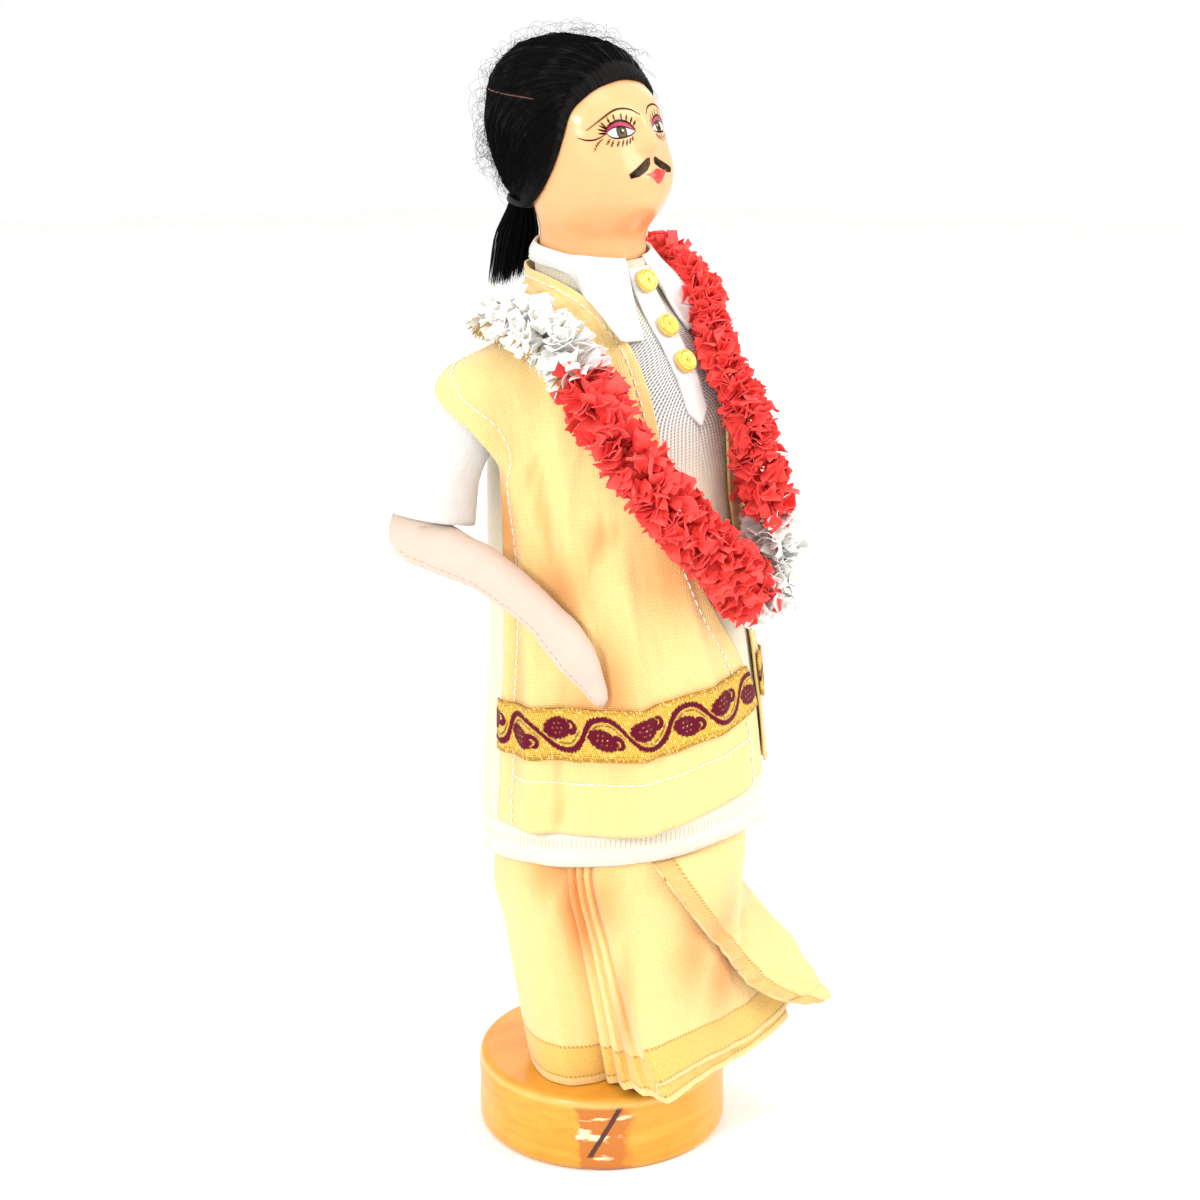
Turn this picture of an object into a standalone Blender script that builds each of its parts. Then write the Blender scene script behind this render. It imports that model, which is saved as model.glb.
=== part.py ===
"""Decorative doll: a cloth bridegroom in a long shirt, pleated waist cloth, shawl and flower garland,
standing on a round wooden base.

The base stands at the origin. The figure hangs from an empty on the base's top and faces -Y, so its
right hand is on the -X side. Points on the figure are given round the body: an angle from its front
towards its right, a distance out, and a height above the base.
"""
import math

import bmesh
import bpy
import numpy as np
from mathutils import Vector
from mathutils.bvhtree import BVHTree

# Real sizes, in metres
BASE_DIAMETER = 0.069
BASE_HEIGHT = 0.0216
BASE_EDGE_RADIUS = 0.002
FIGURE_HEIGHT = 0.2784
CLEARANCE = 0.0003
KURTA_WALL = 0.0012
KURTA_SKIRT_DEPTH = 0.016
CUFF_WALL = 0.0012
CUFF_DEPTH = 0.009
SHAWL_THICKNESS = 0.0012
BORDER_WIDTH = 0.0138
BORDER_FROM_HEM = 0.020
BORDER_THICKNESS = 0.0006
FLAP_THICKNESS = 0.0012
COLLAR_THICKNESS = 0.0010
PLACKET_WIDTH = 0.0075
PLACKET_THICKNESS = 0.0008
BUTTON_DIAMETER = 0.006
BUTTON_THICKNESS = 0.0016
GARLAND_DIAMETER = 0.0166
TAIL_DIAMETER = 0.0072
TIE_THICKNESS = 0.0012
# What the flat sides of a round thing take from the room under cloth that lies on it
FACET_ROOM = 0.0005

# The figure is drawn 278.4 units high, and its free form is kept as shares of that height
DRAWN_HEIGHT = 278.4
UNIT = FIGURE_HEIGHT / DRAWN_HEIGHT
FAR = 120 * UNIT

# Heights, half widths, half depths and how far forward of the axis the middle is, hem to neck
KURTA_SECTIONS = [
    (60, 37, 36.5, 8),
    (78, 36.5, 36.5, 7.5),
    (98, 34.5, 35.5, 7),
    (118, 33, 34, 6.5),
    (138, 32.5, 33, 5.5),
    (158, 33, 31.5, 4.8),
    (176, 34.5, 29.2, 4.8),
    (188, 34.5, 27, 5),
    (196, 31, 24, 4.5),
    (203, 25.5, 20.3, 3.8),
    (209, 20.6, 18, 1.4),
    (214, 17.2, 16, -0.6),
    (219, 15.2, 14.8, -2),
    (224.4, 14.2, 14.2, -3.2),
    (250, 14.2, 14.2, -3.2),
]
KURTA_TOP = 224.4 * UNIT
KURTA_HEM_BACK = 63 * UNIT
KURTA_HEM_FRONT = 75 * UNIT
SECTION_POWER = 2.25
KURTA_ANGLES = [10 * k for k in range(36)]

# The head, neck included, in the same way
HEAD_SECTIONS = [
    (224.8, 13.2, 13.2, -3.2),
    (228, 13.1, 13.1, -3.2),
    (231.4, 13.3, 13.6, -2.8),
    (236, 14.6, 16.2, -1.5),
    (241, 16, 18.1, -0.8),
    (247.4, 16.6, 18.1, -1),
    (252.4, 16.8, 17.4, -1.8),
    (257.6, 16.7, 17.1, -3),
    (262, 16.2, 17, -4.2),
    (265.5, 14.9, 15.7, -5.4),
    (268.6, 12.6, 13.4, -6.6),
    (271, 9.4, 10.2, -7.5),
    (272.8, 5.2, 5.6, -8),
]
HEAD_MIDDLE = Vector((0, 3.5, 254)) * UNIT
HEAD_TILT = math.radians(12)
TAIL_KNOT = Vector((0, 28.2, 235.5)) * UNIT
HAIR_ROOT = Vector((0, 24, 247)) * UNIT
# How far, in degrees, the head's columns crowd towards the face
FACE_CROWDING = 19
# Angle from the front, height, how far it stands out, its half angle and half height
FACE_FORMS = [
    (0, 254.4, 2.9, 9, 2.8),
    (0, 258.6, 1.2, 7.5, 4.2),
    (0, 246.2, 1.1, 12, 2.0),
    (0, 239, 1.3, 18, 3.6),
    (31, 247.5, 0.7, 18, 5.0),
    (-31, 247.5, 0.7, 18, 5.0),
    (22, 258.5, -0.6, 13, 3.2),
    (-22, 258.5, -0.6, 13, 3.2),
]

# Round the face from its top: how far back the hair starts, in degrees from straight ahead
HAIRLINE = [
    (0, 44),
    (20, 45),
    (36, 49),
    (52, 55),
    (67, 63),
    (86, 70),
    (105, 82),
    (123, 98),
    (140, 117),
    (160, 130),
    (180, 137),
]

# The shawl's two long edges, from the right hem round the neck: angle and height of each
SHAWL_EDGES = [
    (-27, 88, 107, 78.5),
    (-25, 104, 107, 95.5),
    (-12, 123, 106, 114),
    (8, 143, 100, 142),
    (24, 170, 100, 166),
    (36, 192, 95, 182),
    (50, 205, 106, 197),
    (80, 215, 130, 200),
    (120, 217, 153, 197.5),
    (180, 217, 180, 196),
    (240, 217, 207, 197.5),
    (280, 215, 230, 200),
    (317, 206, 254, 197),
    (338, 191, 265, 182),
    (346, 171, 261, 166),
    (343, 149, 260, 142),
    (333, 123, 254, 114),
    (325, 104, 253, 95.5),
    (321, 88, 253, 78.5),
]

# The collar from its right point round the back: angle at the neck, then angle and height outside
COLLAR_EDGES = [
    (14, 25, 206.2),
    (30, 41, 208),
    (50, 50, 214.5),
    (76, 70, 221),
    (112, 108, 224),
    (146, 145, 223.5),
    (180, 180, 223),
    (214, 215, 223.5),
    (248, 252, 224),
    (284, 290, 221),
    (310, 310, 214.5),
    (330, 319, 208),
    (346, 335, 206.2),
]

# The dhoti's hem: angle, distance out and height, then its angle at the waist and its groove there
DHOTI_HEM = [
    (-180, 27, 0.3, -180, 0),
    (-130, 27.5, 0.3, -130, 0),
    (-100, 29, 0.3, -100, 0),
    (-75, 32.5, 2, -77, 1.2),
    (-57, 40, 7, -58, 3),
    (-43, 47.5, 10.5, -43, 3.8),
    (-32, 41.5, 7.5, -28, 3),
    (-15, 35, 5.2, -7, 1.2),
    (0, 33.6, 4.9, 16, 0),
    (12, 35.2, 4.9, 34, 0),
    (22, 38, 4.9, 48, 0.4),
    (31, 42.2, 4.9, 59, 0.2),
    (34.5, 34.5, 4.4, 62, 2.6),
    (38.5, 33.6, 4.2, 64, 0.6),
    (42, 27, 3.2, 66, 2.6),
    (47, 27.4, 2.8, 68, 0.8),
    (51, 20.6, 1.6, 70.5, 3.0),
    (58, 21.2, 1.2, 73, 1.4),
    (63, 16.6, 0.3, 77.5, 4.6),
    (72, 20.5, 0.3, 84, 1.6),
    (84, 25.3, 0.3, 93, 0.2),
    (100, 26.6, 0.3, 104, 0),
    (125, 25.8, 0.3, 128, 0),
    (150, 26, 0.3, 152, 0),
]
DHOTI_TOP = 83 * UNIT

# The flap's free edge from the waist to its point, then its back edge: angle and height
FLAP_EDGES = [
    (34, 70, -112, 60),
    (18, 56, -112, 50),
    (-3, 39.5, -112, 38),
    (-18, 27, -112, 26),
    (-33, 18.5, -112, 14),
    (-43.5, 15.8, -112, 2.5),
]
FLAP_POINT_ANGLE = -45
FLAP_SPREAD = 27
FLAP_FLARE_TOP = 52

# Points along the middle of each arm from inside the cuff to the hand's tip: right, front, height,
# half width and half thickness
ARM_RIGHT = [
    (52, -14.5, 167, 5.2, 5.0),
    (53.5, -13.5, 159.8, 5.4, 5.2),
    (51, -5.5, 155.6, 5.6, 5.4),
    (47.5, 3.5, 151.4, 5.9, 5.5),
    (44.3, 11, 145.8, 6.0, 5.4),
    (41, 16.5, 140.2, 6.0, 5.0),
    (36.5, 23.5, 131.5, 6.4, 4.8),
    (33.3, 28, 122.5, 3.4, 3.0),
    (31.3, 29.5, 115.5, 1.3, 1.3),
]
ARM_LEFT = [
    (-45, -13, 166, 5.5, 5.0),
    (-46, -13.4, 155, 6.8, 6.2),
    (-45.8, -13, 142, 6.6, 6.0),
    (-45, -12, 129, 6.0, 5.6),
    (-44.4, -11, 117, 6.4, 5.2),
    (-44, -10, 107, 5.6, 4.4),
    (-43.6, -9, 99, 3.2, 2.8),
    (-43.4, -8.6, 94, 1.4, 1.4),
]
SLEEVE_RIGHT = [
    (26, -3, 196, 8.5, 8),
    (36, -6, 193, 9.5, 9),
    (43, -10, 185, 9.8, 9.2),
    (47.5, -13, 175, 10.6, 9.4),
    (50.5, -14, 163, 12, 9.8),
]
SLEEVE_LEFT = [
    (-24, -3, 192, 8, 7.5),
    (-33, -6, 186, 9, 8.5),
    (-39, -9.5, 177, 9.4, 8.8),
    (-43, -12, 168, 10, 9.2),
    (-45.5, -13, 157, 11, 9.6),
]

# The garland's course round the body: angle, height and its share of the full thickness
GARLAND_COURSE = [
    (-150, 210, 0.72),
    (-180, 207.5, 0.62),
    (-207, 207, 0.62),
    (-234, 208, 0.7),
    (-262, 210, 0.84),
    (-284, 210, 0.95),
    (-298, 203, 1),
    (-305, 193.5, 1),
    (-315, 183.5, 1),
    (-325, 173.5, 1),
    (-338, 162, 1),
    (-354, 149.5, 1),
    (-366, 141.5, 1),
    (-376, 141, 1),
    (-382, 147, 1),
    (-381, 156, 1),
    (-378, 167, 0.92),
    (-377, 178, 0.82),
    (-378, 190, 0.7),
    (-386, 201, 0.62),
    (-400, 209, 0.6),
    (-420, 215, 0.64),
    (-445, 217.5, 0.72),
    (-470, 216, 0.76),
    (-490, 213, 0.74),
    (-510, 210, 0.72),
]
# How thick each coloured section still is at its ends
GARLAND_END_SHARE = 0.9
GARLAND_PARTS = [
    ("garland_nape", -150, -300, (0.93, 0.91, 0.86)),
    ("garland_right", -300, -368, (0.80, 0.07, 0.08)),
    ("garland_front", -368, -380, (0.93, 0.91, 0.86)),
    ("garland_left", -380, -510, (0.80, 0.07, 0.08)),
]
BUTTON_HEIGHTS = {"button_upper": 219.2, "button_middle": 208.4, "button_lower": 200.2}


def smooth(table, at):
    """The values of a table's row at a place between its rows, on one smooth curve through them."""
    rows = np.array(table, float)
    places = rows[:, 0]
    values = rows[:, 1:]
    if places[0] > places[-1]:
        places, values = places[::-1], values[::-1]
    at = min(max(at, places[0]), places[-1])
    slopes = np.gradient(values, places, axis=0)
    low = int(min(max(np.searchsorted(places, at) - 1, 0), len(places) - 2))
    span = places[low + 1] - places[low]
    t = (at - places[low]) / span
    start = values[low] * (2 * t**3 - 3 * t**2 + 1) + slopes[low] * span * (t**3 - 2 * t**2 + t)
    end = values[low + 1] * (3 * t**2 - 2 * t**3) + slopes[low + 1] * span * (t**3 - t**2)
    return start + end


def numbered(rows):
    """The same rows, each with its place from 0 to 1 in front."""
    last = len(rows) - 1
    return [(i / last, *row) for i, row in enumerate(rows)]


def bump(distance):
    """1 at a distance of 0, falling smoothly to nothing past 2."""
    return math.exp(-distance * distance)


def middle(height):
    """How far forward of the axis the body's middle is at a height."""
    return smooth(KURTA_SECTIONS, height / UNIT)[2] * UNIT


def spot(angle, radius, height):
    """The point at an angle in degrees from the body's front, a distance out and a height."""
    turn = math.radians(angle)
    return Vector((-radius * math.sin(turn), -middle(height) - radius * math.cos(turn), height))


def section_radius(sections, angle, height):
    half_width, half_depth, _ = smooth(sections, height / UNIT) * UNIT
    across = abs(math.sin(math.radians(angle))) / half_width
    along = abs(math.cos(math.radians(angle))) / half_depth
    return (across**SECTION_POWER + along**SECTION_POWER) ** (-1 / SECTION_POWER)


def kurta_radius(angle, height):
    return section_radius(KURTA_SECTIONS, angle, height)


def kurta_hem(angle):
    share = (1 + math.cos(math.radians(angle - 3))) / 2
    return KURTA_HEM_BACK + (KURTA_HEM_FRONT - KURTA_HEM_BACK) * share


def material(name, colour, roughness, metallic=0.0):
    made = bpy.data.materials.new(name)
    made.use_nodes = True
    shader = made.node_tree.nodes["Principled BSDF"]
    shader.inputs["Base Color"].default_value = (*colour, 1.0)
    shader.inputs["Roughness"].default_value = roughness
    shader.inputs["Metallic"].default_value = metallic
    return made


def add(name, mesh, finish, parent):
    part = bpy.data.objects.new(name, mesh)
    COLLECTION.objects.link(part)
    part.parent = parent
    if finish:
        mesh.materials.append(finish)
    return part


def keep_primitive(name, finish, parent):
    """The primitive just made, named and moved into the doll's collection."""
    part = bpy.context.active_object
    part.name = name
    part.data.name = name
    for collection in part.users_collection:
        collection.objects.unlink(part)
    COLLECTION.objects.link(part)
    part.parent = parent
    part.data.materials.append(finish)
    part.data.shade_smooth()
    return part


def turn_to(part, direction):
    """Turns a part's own Z axis to a direction."""
    part.rotation_mode = "QUATERNION"
    part.rotation_quaternion = direction.to_track_quat("Z", "Y")


def bevel(part, width, segments):
    edge = part.modifiers.new("rounded edge", "BEVEL")
    edge.width = width
    edge.segments = segments
    edge.limit_method = "ANGLE"


def loft(name, rings, closed_round=True, capped=True):
    """A skin over rings of points; closed_round joins each ring's ends, capped fills both end rings."""
    bm = bmesh.new()
    rows = [[bm.verts.new(point) for point in ring] for ring in rings]
    count = len(rows[0])
    for lower, upper in zip(rows, rows[1:]):
        for i in range(count if closed_round else count - 1):
            j = (i + 1) % count
            bm.faces.new((lower[i], lower[j], upper[j], upper[i]))
    if capped:
        for row in (rows[0], rows[-1]):
            heart = bm.verts.new(sum((v.co for v in row), Vector()) / count)
            for i in range(count):
                bm.faces.new((row[i], row[(i + 1) % count], heart))
        bmesh.ops.recalc_face_normals(bm, faces=bm.faces)
    else:
        bm.normal_update()
        facing = sum(f.normal.xy.dot(f.calc_center_median().xy) * f.calc_area() for f in bm.faces)
        if facing < 0:
            bmesh.ops.reverse_faces(bm, faces=bm.faces)
    mesh = bpy.data.meshes.new(name)
    bm.to_mesh(mesh)
    bm.free()
    mesh.shade_smooth()
    return mesh


def cloth(name, rings, thickness, finish, parent):
    """An open sheet whose points are its inner side, thickened outwards."""
    part = add(name, loft(name, rings, closed_round=False, capped=False), finish, parent)
    shell = part.modifiers.new("thickness", "SOLIDIFY")
    shell.thickness = thickness
    shell.offset = 1
    return part


def cut(part, cutter):
    boolean = part.modifiers.new("room for " + cutter.name, "BOOLEAN")
    boolean.operation = "DIFFERENCE"
    boolean.object = cutter
    boolean.solver = "EXACT"


def as_cutter(part):
    part.hide_render = True
    part.display_type = "WIRE"
    COLLECTION.objects.unlink(part)
    CUTTERS.objects.link(part)
    return part


def trees(*parts):
    """The surfaces of finished parts, for resting others on them."""
    bpy.context.view_layer.update()
    depsgraph = bpy.context.evaluated_depsgraph_get()
    return [BVHTree.FromObject(part, depsgraph) for part in parts]


def reach(surfaces, angle, height):
    """How far out the surfaces reach at an angle and a height."""
    start = spot(angle, FAR, height)
    inward = (spot(angle, 0, height) - start).normalized()
    hits = [surface.ray_cast(start, inward, FAR) for surface in surfaces]
    distances = [hit[3] for hit in hits if hit[3] is not None]
    return FAR - min(distances) if distances else 0.0


def pushed_out(surfaces, point, distance):
    """The point moved off the surfaces until they are a distance away."""
    for _ in range(40):
        hits = [surface.find_nearest(point) for surface in surfaces]
        touch, _, _, gap = min(hits, key=lambda hit: hit[3])
        if gap >= distance:
            break
        point = point + (point - touch).normalized() * (distance - gap + CLEARANCE / 10)
    return point


def lift_off(rings, surfaces, distance):
    """Moves a sheet's points out until its faces, not only its corners, clear the surfaces."""
    for _ in range(4):
        for i in range(len(rings) - 1):
            for j in range(len(rings[0]) - 1):
                for corners in (
                    [(i, j), (i, j + 1), (i + 1, j + 1), (i + 1, j)],
                    [(i, j), (i, j + 1)],
                    [(i + 1, j), (i + 1, j + 1)],
                    [(i, j), (i + 1, j)],
                    [(i, j + 1), (i + 1, j + 1)],
                    [(i, j), (i + 1, j + 1)],
                ):
                    sample = sum((rings[a][b] for a, b in corners), Vector()) / len(corners)
                    outward = Vector((sample.x, sample.y + middle(sample.z), 0))
                    angle = math.degrees(math.atan2(-outward.x, -outward.y))
                    short = reach(surfaces, angle, sample.z) + distance - outward.length
                    if short > 0:
                        for a, b in corners:
                            rings[a][b] = rings[a][b] + outward.normalized() * short


def eased(floor, rounds):
    """A grid of distances drawn tight like cloth, nowhere under its floor."""
    grid = floor.copy()
    for _ in range(rounds):
        padded = np.pad(grid, 1, mode="edge")
        around = padded[:-2, 1:-1] + padded[2:, 1:-1] + padded[1:-1, :-2] + padded[1:-1, 2:]
        grid = np.maximum(floor, around / 4)
    return grid


def tube_rings(course, sides, shape):
    """Rings square to a course of points; shape(i, turn) gives the two half sizes at a ring's corner."""
    rings = []
    last = len(course) - 1
    across = None
    for i, point in enumerate(course):
        ahead = (course[min(i + 1, last)] - course[max(i - 1, 0)]).normalized()
        if across is None:
            across = ahead.cross(Vector((0, 0, 1)) if abs(ahead.z) < 0.7 else Vector((0, 1, 0)))
        across = (across - ahead * across.dot(ahead)).normalized()
        up = across.cross(ahead)
        ring = []
        for k in range(sides):
            turn = 2 * math.pi * k / sides
            wide, thick = shape(i, turn)
            ring.append(point + up * wide * math.cos(turn) + across * thick * math.sin(turn))
        rings.append(ring)
    return rings


def base():
    bpy.ops.mesh.primitive_cylinder_add(
        vertices=40, radius=BASE_DIAMETER / 2, depth=BASE_HEIGHT, location=(0, 0, BASE_HEIGHT / 2)
    )
    disc = keep_primitive("base", material("varnished wood", (0.72, 0.38, 0.08), 0.3), None)
    bevel(disc, BASE_EDGE_RADIUS, 2)


def kurta_rings(extra):
    """The outside from hem to neck, extra further out than the cloth."""
    levels = (0, 0.07, 0.2, 0.35, 0.5, 0.63, 0.74, 0.81, 0.865, 0.91, 0.945, 0.972, 1)
    rings = []
    for level in levels:
        ring = []
        for angle in KURTA_ANGLES:
            hem = kurta_hem(angle)
            height = hem + (KURTA_TOP - hem) * level
            ring.append(spot(angle, kurta_radius(angle, height) + extra, height))
        rings.append(ring)
    return rings


def kurta(figure):
    """The long shirt, filled by the stuffed body, with an open skirt that takes the dhoti's top."""
    inner_hem = []
    ceiling = []
    top = KURTA_HEM_FRONT + KURTA_SKIRT_DEPTH
    for angle in KURTA_ANGLES:
        hem = kurta_hem(angle)
        inner_hem.append(spot(angle, kurta_radius(angle, hem) - KURTA_WALL, hem))
        ceiling.append(spot(angle, kurta_radius(angle, top) - KURTA_WALL, top))
    rings = [ceiling, inner_hem] + kurta_rings(0)
    return add("kurta", loft("kurta", rings), material("kurta cloth", (0.86, 0.80, 0.66), 0.8), figure)


def sleeve(name, course, figure, grown_kurta, finish):
    """A flared sleeve with a hollow cuff; its shoulder end is cut to sit on the kurta."""
    table = numbered(course)
    steps = 7
    values = [smooth(table, i / steps) for i in range(steps + 1)]
    points = [Vector((-v[0], -v[1], v[2])) * UNIT for v in values]
    sizes = [(v[3] * UNIT, v[4] * UNIT) for v in values]
    rings = tube_rings(points, 14, lambda i, turn: sizes[i])
    hem, before = points[-1], points[-2]
    inward = (before - hem).normalized()
    share = 1 - CUFF_WALL / sizes[-1][1]
    lip = [hem + (p - hem) * share for p in rings[-1]]
    floor = [p + inward * CUFF_DEPTH for p in lip]
    floor = [hem + inward * CUFF_DEPTH + (p - hem - inward * CUFF_DEPTH) * 0.88 for p in floor]
    part = add(name, loft(name, rings + [lip, floor]), finish, figure)
    cut(part, grown_kurta)
    return part


def cuff_floor(course):
    """The middle of the hollow in a sleeve's cuff, where the arm ends, and the way out of it."""
    table = numbered(course)
    hem = smooth(table, 1)
    before = smooth(table, 6 / 7)
    hem = Vector((-hem[0], -hem[1], hem[2])) * UNIT
    before = Vector((-before[0], -before[1], before[2])) * UNIT
    inward = (before - hem).normalized()
    return hem + inward * (CUFF_DEPTH - CLEARANCE - 0.0002), -inward


def arm(name, route, sleeve_course, surfaces, figure, finish):
    """A stuffed arm from inside the cuff to a mitten hand, resting clear of the clothes."""
    table = numbered(route)
    steps = 14
    values = [smooth(table, i / steps) for i in range(steps + 1)]
    sizes = [(v[3] * UNIT, v[4] * UNIT) for v in values]
    points = [Vector((-v[0], -v[1], v[2])) * UNIT for v in values]
    start, outward = cuff_floor(sleeve_course)
    points[0] = start
    points[1] = start + outward * (CUFF_DEPTH * 0.5)
    free = range(6, steps + 1)
    for i in free:
        points[i] = pushed_out(surfaces, points[i], max(sizes[i]) + CLEARANCE)
    for _ in range(2):
        soft = [(points[i - 1] + points[i] * 2 + points[min(i + 1, steps)]) / 4 for i in free]
        for i, point in zip(free, soft):
            points[i] = pushed_out(surfaces, point, max(sizes[i]) + CLEARANCE)
    rings = tube_rings(points, 10, lambda i, turn: sizes[i])
    return add(name, loft(name, rings), finish, figure)


def head(figure):
    """The moulded head and neck: level sections with the face's forms raised on them."""
    sides = 24
    last = 18
    row_heights = numbered([(row[0],) for row in HEAD_SECTIONS])
    heights = [smooth(row_heights, i / last)[0] for i in range(last + 1)]
    rings = []
    for height in heights:
        forward = smooth(HEAD_SECTIONS, height)[2] * UNIT
        ring = []
        for k in range(sides):
            even = 360 * k / sides
            even = even if even <= 180 else even - 360
            angle = even - FACE_CROWDING * math.sin(math.radians(even))
            radius = section_radius(HEAD_SECTIONS, angle, height * UNIT)
            for at, level, out, half_angle, half_height in FACE_FORMS:
                round_it = (angle - at) / half_angle
                radius += out * UNIT * bump(round_it) * bump((height - level) / half_height)
            turn = math.radians(angle)
            across, along = -radius * math.sin(turn), -forward - radius * math.cos(turn)
            ring.append(Vector((across, along, height * UNIT)))
        rings.append(ring)
    return add("head", loft("head", rings), material("painted skin", (0.83, 0.50, 0.30), 0.25), figure)


def hair(figure, skull, tail_end):
    """The wig: a cap over the skull from the hairline back, with the gathered tail joined to it."""
    surface = trees(skull)[0]
    around, back = 22, 9
    ahead = Vector((0, -math.cos(HEAD_TILT), math.sin(HEAD_TILT)))
    up = Vector((0, math.sin(HEAD_TILT), math.cos(HEAD_TILT)))
    right = Vector((-1, 0, 0))
    inner, outer = [], []
    for step in range(back):
        inner_ring, outer_ring = [], []
        for k in range(around):
            turn = 360 * k / around
            turn = turn if turn <= 180 else turn - 360
            edge = smooth(HAIRLINE, abs(turn))[0]
            lean = edge + (176 - edge) * (step / (back - 1))
            side = up * math.cos(math.radians(turn)) + right * math.sin(math.radians(turn))
            way = ahead * math.cos(math.radians(lean)) + side * math.sin(math.radians(lean))
            from_edge = min(1, (lean - edge) / 32)
            fullness = 2.8 + 8.6 * max(0, way.y + 0.12) ** 1.1 * (1 - 0.6 * max(0, way.z))
            locks = 0.35 * math.sin(math.radians(turn) * 13 + lean / 9) * from_edge
            thick = (0.7 + (fullness + locks) * from_edge ** 0.6) * UNIT
            hit = surface.ray_cast(HEAD_MIDDLE, way, FAR)[0]
            skin = (hit - HEAD_MIDDLE).length + CLEARANCE + 1.8 * FACET_ROOM
            inner_ring.append(HEAD_MIDDLE + way * skin)
            outer_ring.append(HEAD_MIDDLE + way * (skin + thick))
        inner.append(inner_ring)
        outer.append(outer_ring)
    finish = material("black fibre", (0.012, 0.011, 0.012), 0.55)
    cap = add("hair", loft("hair", inner[::-1] + outer), finish, figure)
    course = [TAIL_KNOT.lerp(HAIR_ROOT, share) for share in (1, 0.5, 0.1)]
    course += [TAIL_KNOT.lerp(tail_end, share) for share in (0.1, 0.35, 0.65, 1)]
    sizes = [1.1, 1.25, 1, 1, 1.5, 1.7, 1.25]
    rings = tube_rings(course, 12, lambda i, turn: [TAIL_DIAMETER / 2 * sizes[i]] * 2)
    tail = as_cutter(add("gathered tail", loft("gathered tail", rings), None, figure))
    joined = cap.modifiers.new("tail", "BOOLEAN")
    joined.operation = "UNION"
    joined.object = tail
    joined.solver = "EXACT"
    tie = hair_tie(figure, tail_end, "room for the tie", CLEARANCE)
    cut(cap, as_cutter(tie))
    return cap


def hair_tie(figure, tail_end, name="hair_tie", extra=0.0):
    """The thread round the tail, or with some extra thickness the groove it lies in."""
    bpy.ops.mesh.primitive_torus_add(
        major_radius=TAIL_DIAMETER / 2 + TIE_THICKNESS / 4,
        minor_radius=TIE_THICKNESS / 2 + extra,
        major_segments=14,
        minor_segments=5,
    )
    ring = keep_primitive(name, material("black thread", (0.01, 0.01, 0.012), 0.7), figure)
    ring.location = TAIL_KNOT
    turn_to(ring, HAIR_ROOT - tail_end)
    return ring


def shawl_grid(surfaces):
    """The inner side of the shawl: rows of points from the right hem round the neck to the left one."""
    rows, columns = 34, 8
    edges = numbered(SHAWL_EDGES)
    angles = np.zeros((rows + 1, columns))
    heights = np.zeros((rows + 1, columns))
    for i in range(rows + 1):
        near_angle, near_height, far_angle, far_height = smooth(edges, i / rows)
        for j in range(columns):
            share = j / (columns - 1)
            angles[i, j] = near_angle + (far_angle - near_angle) * share
            heights[i, j] = (near_height + (far_height - near_height) * share) * UNIT
    floor = np.zeros_like(angles)
    for i in range(rows + 1):
        for j in range(columns):
            floor[i, j] = reach(surfaces, angles[i, j], heights[i, j]) + CLEARANCE + FACET_ROOM
    out = eased(floor, 8)
    for i in range(rows + 1):
        for j in range(columns):
            out[i, j] += shawl_fold(angles[i, j], heights[i, j] / UNIT) * UNIT
    rings = [
        [spot(angles[i, j], out[i, j], heights[i, j]) for j in range(columns)] for i in range(rows + 1)
    ]
    lift_off(rings, surfaces, CLEARANCE + FACET_ROOM)
    return rings


def shawl_fold(angle, height):
    """How far the cloth stands off in its folds."""
    angle = (angle + 180) % 360 - 180
    low = min(1, max(0, (150 - height) / 60))
    ridge = 3.2 * bump((angle - 38) / 15) * low
    second = 1.4 * bump((angle - 88) / 12) * low
    left = 2.4 * bump((angle + 62) / 18) * low
    return 0.2 + ridge + second + left


def grid_point(rings, row, share):
    """A point of a grid at a fractional row and a share of the way across."""
    row = min(max(row, 0), len(rings) - 1.000001)
    column = min(share * (len(rings[0]) - 1), len(rings[0]) - 1.000001)
    i, j = int(row), int(column)
    low = rings[i][j].lerp(rings[i][j + 1], column - j)
    high = rings[i + 1][j].lerp(rings[i + 1][j + 1], column - j)
    return low.lerp(high, row - i)


def rows_from_hem(rings, share, distance):
    """The fractional row that lies a distance along the cloth from its first row."""
    gone = 0
    for i in range(len(rings) - 1):
        step = (grid_point(rings, i + 1, share) - grid_point(rings, i, share)).length
        if gone + step >= distance:
            return i + (distance - gone) / step
        gone += step
    return len(rings) - 1.0


def shawl_border(name, rings, figure, finish):
    """A woven ribbon across the shawl's end, lying on its outer side."""
    columns = len(rings[0])
    lift = SHAWL_THICKNESS + CLEARANCE + FACET_ROOM / 2
    strip = []
    for step in range(4):
        row = []
        for j in range(columns):
            share = j / (columns - 1)
            at = rows_from_hem(rings, share, BORDER_FROM_HEM + BORDER_WIDTH * step / 3)
            here = grid_point(rings, at, share)
            along = grid_point(rings, at + 0.5, share) - grid_point(rings, at - 0.5, share)
            across = grid_point(rings, at, min(1, share + 0.06)) - grid_point(rings, at, share - 0.06)
            out = along.cross(across).normalized()
            if out.dot(Vector((here.x, here.y, 0))) < 0:
                out = -out
            row.append(here + out * lift)
        strip.append(row)
    return cloth(name, strip, BORDER_THICKNESS, finish, figure)


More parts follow.
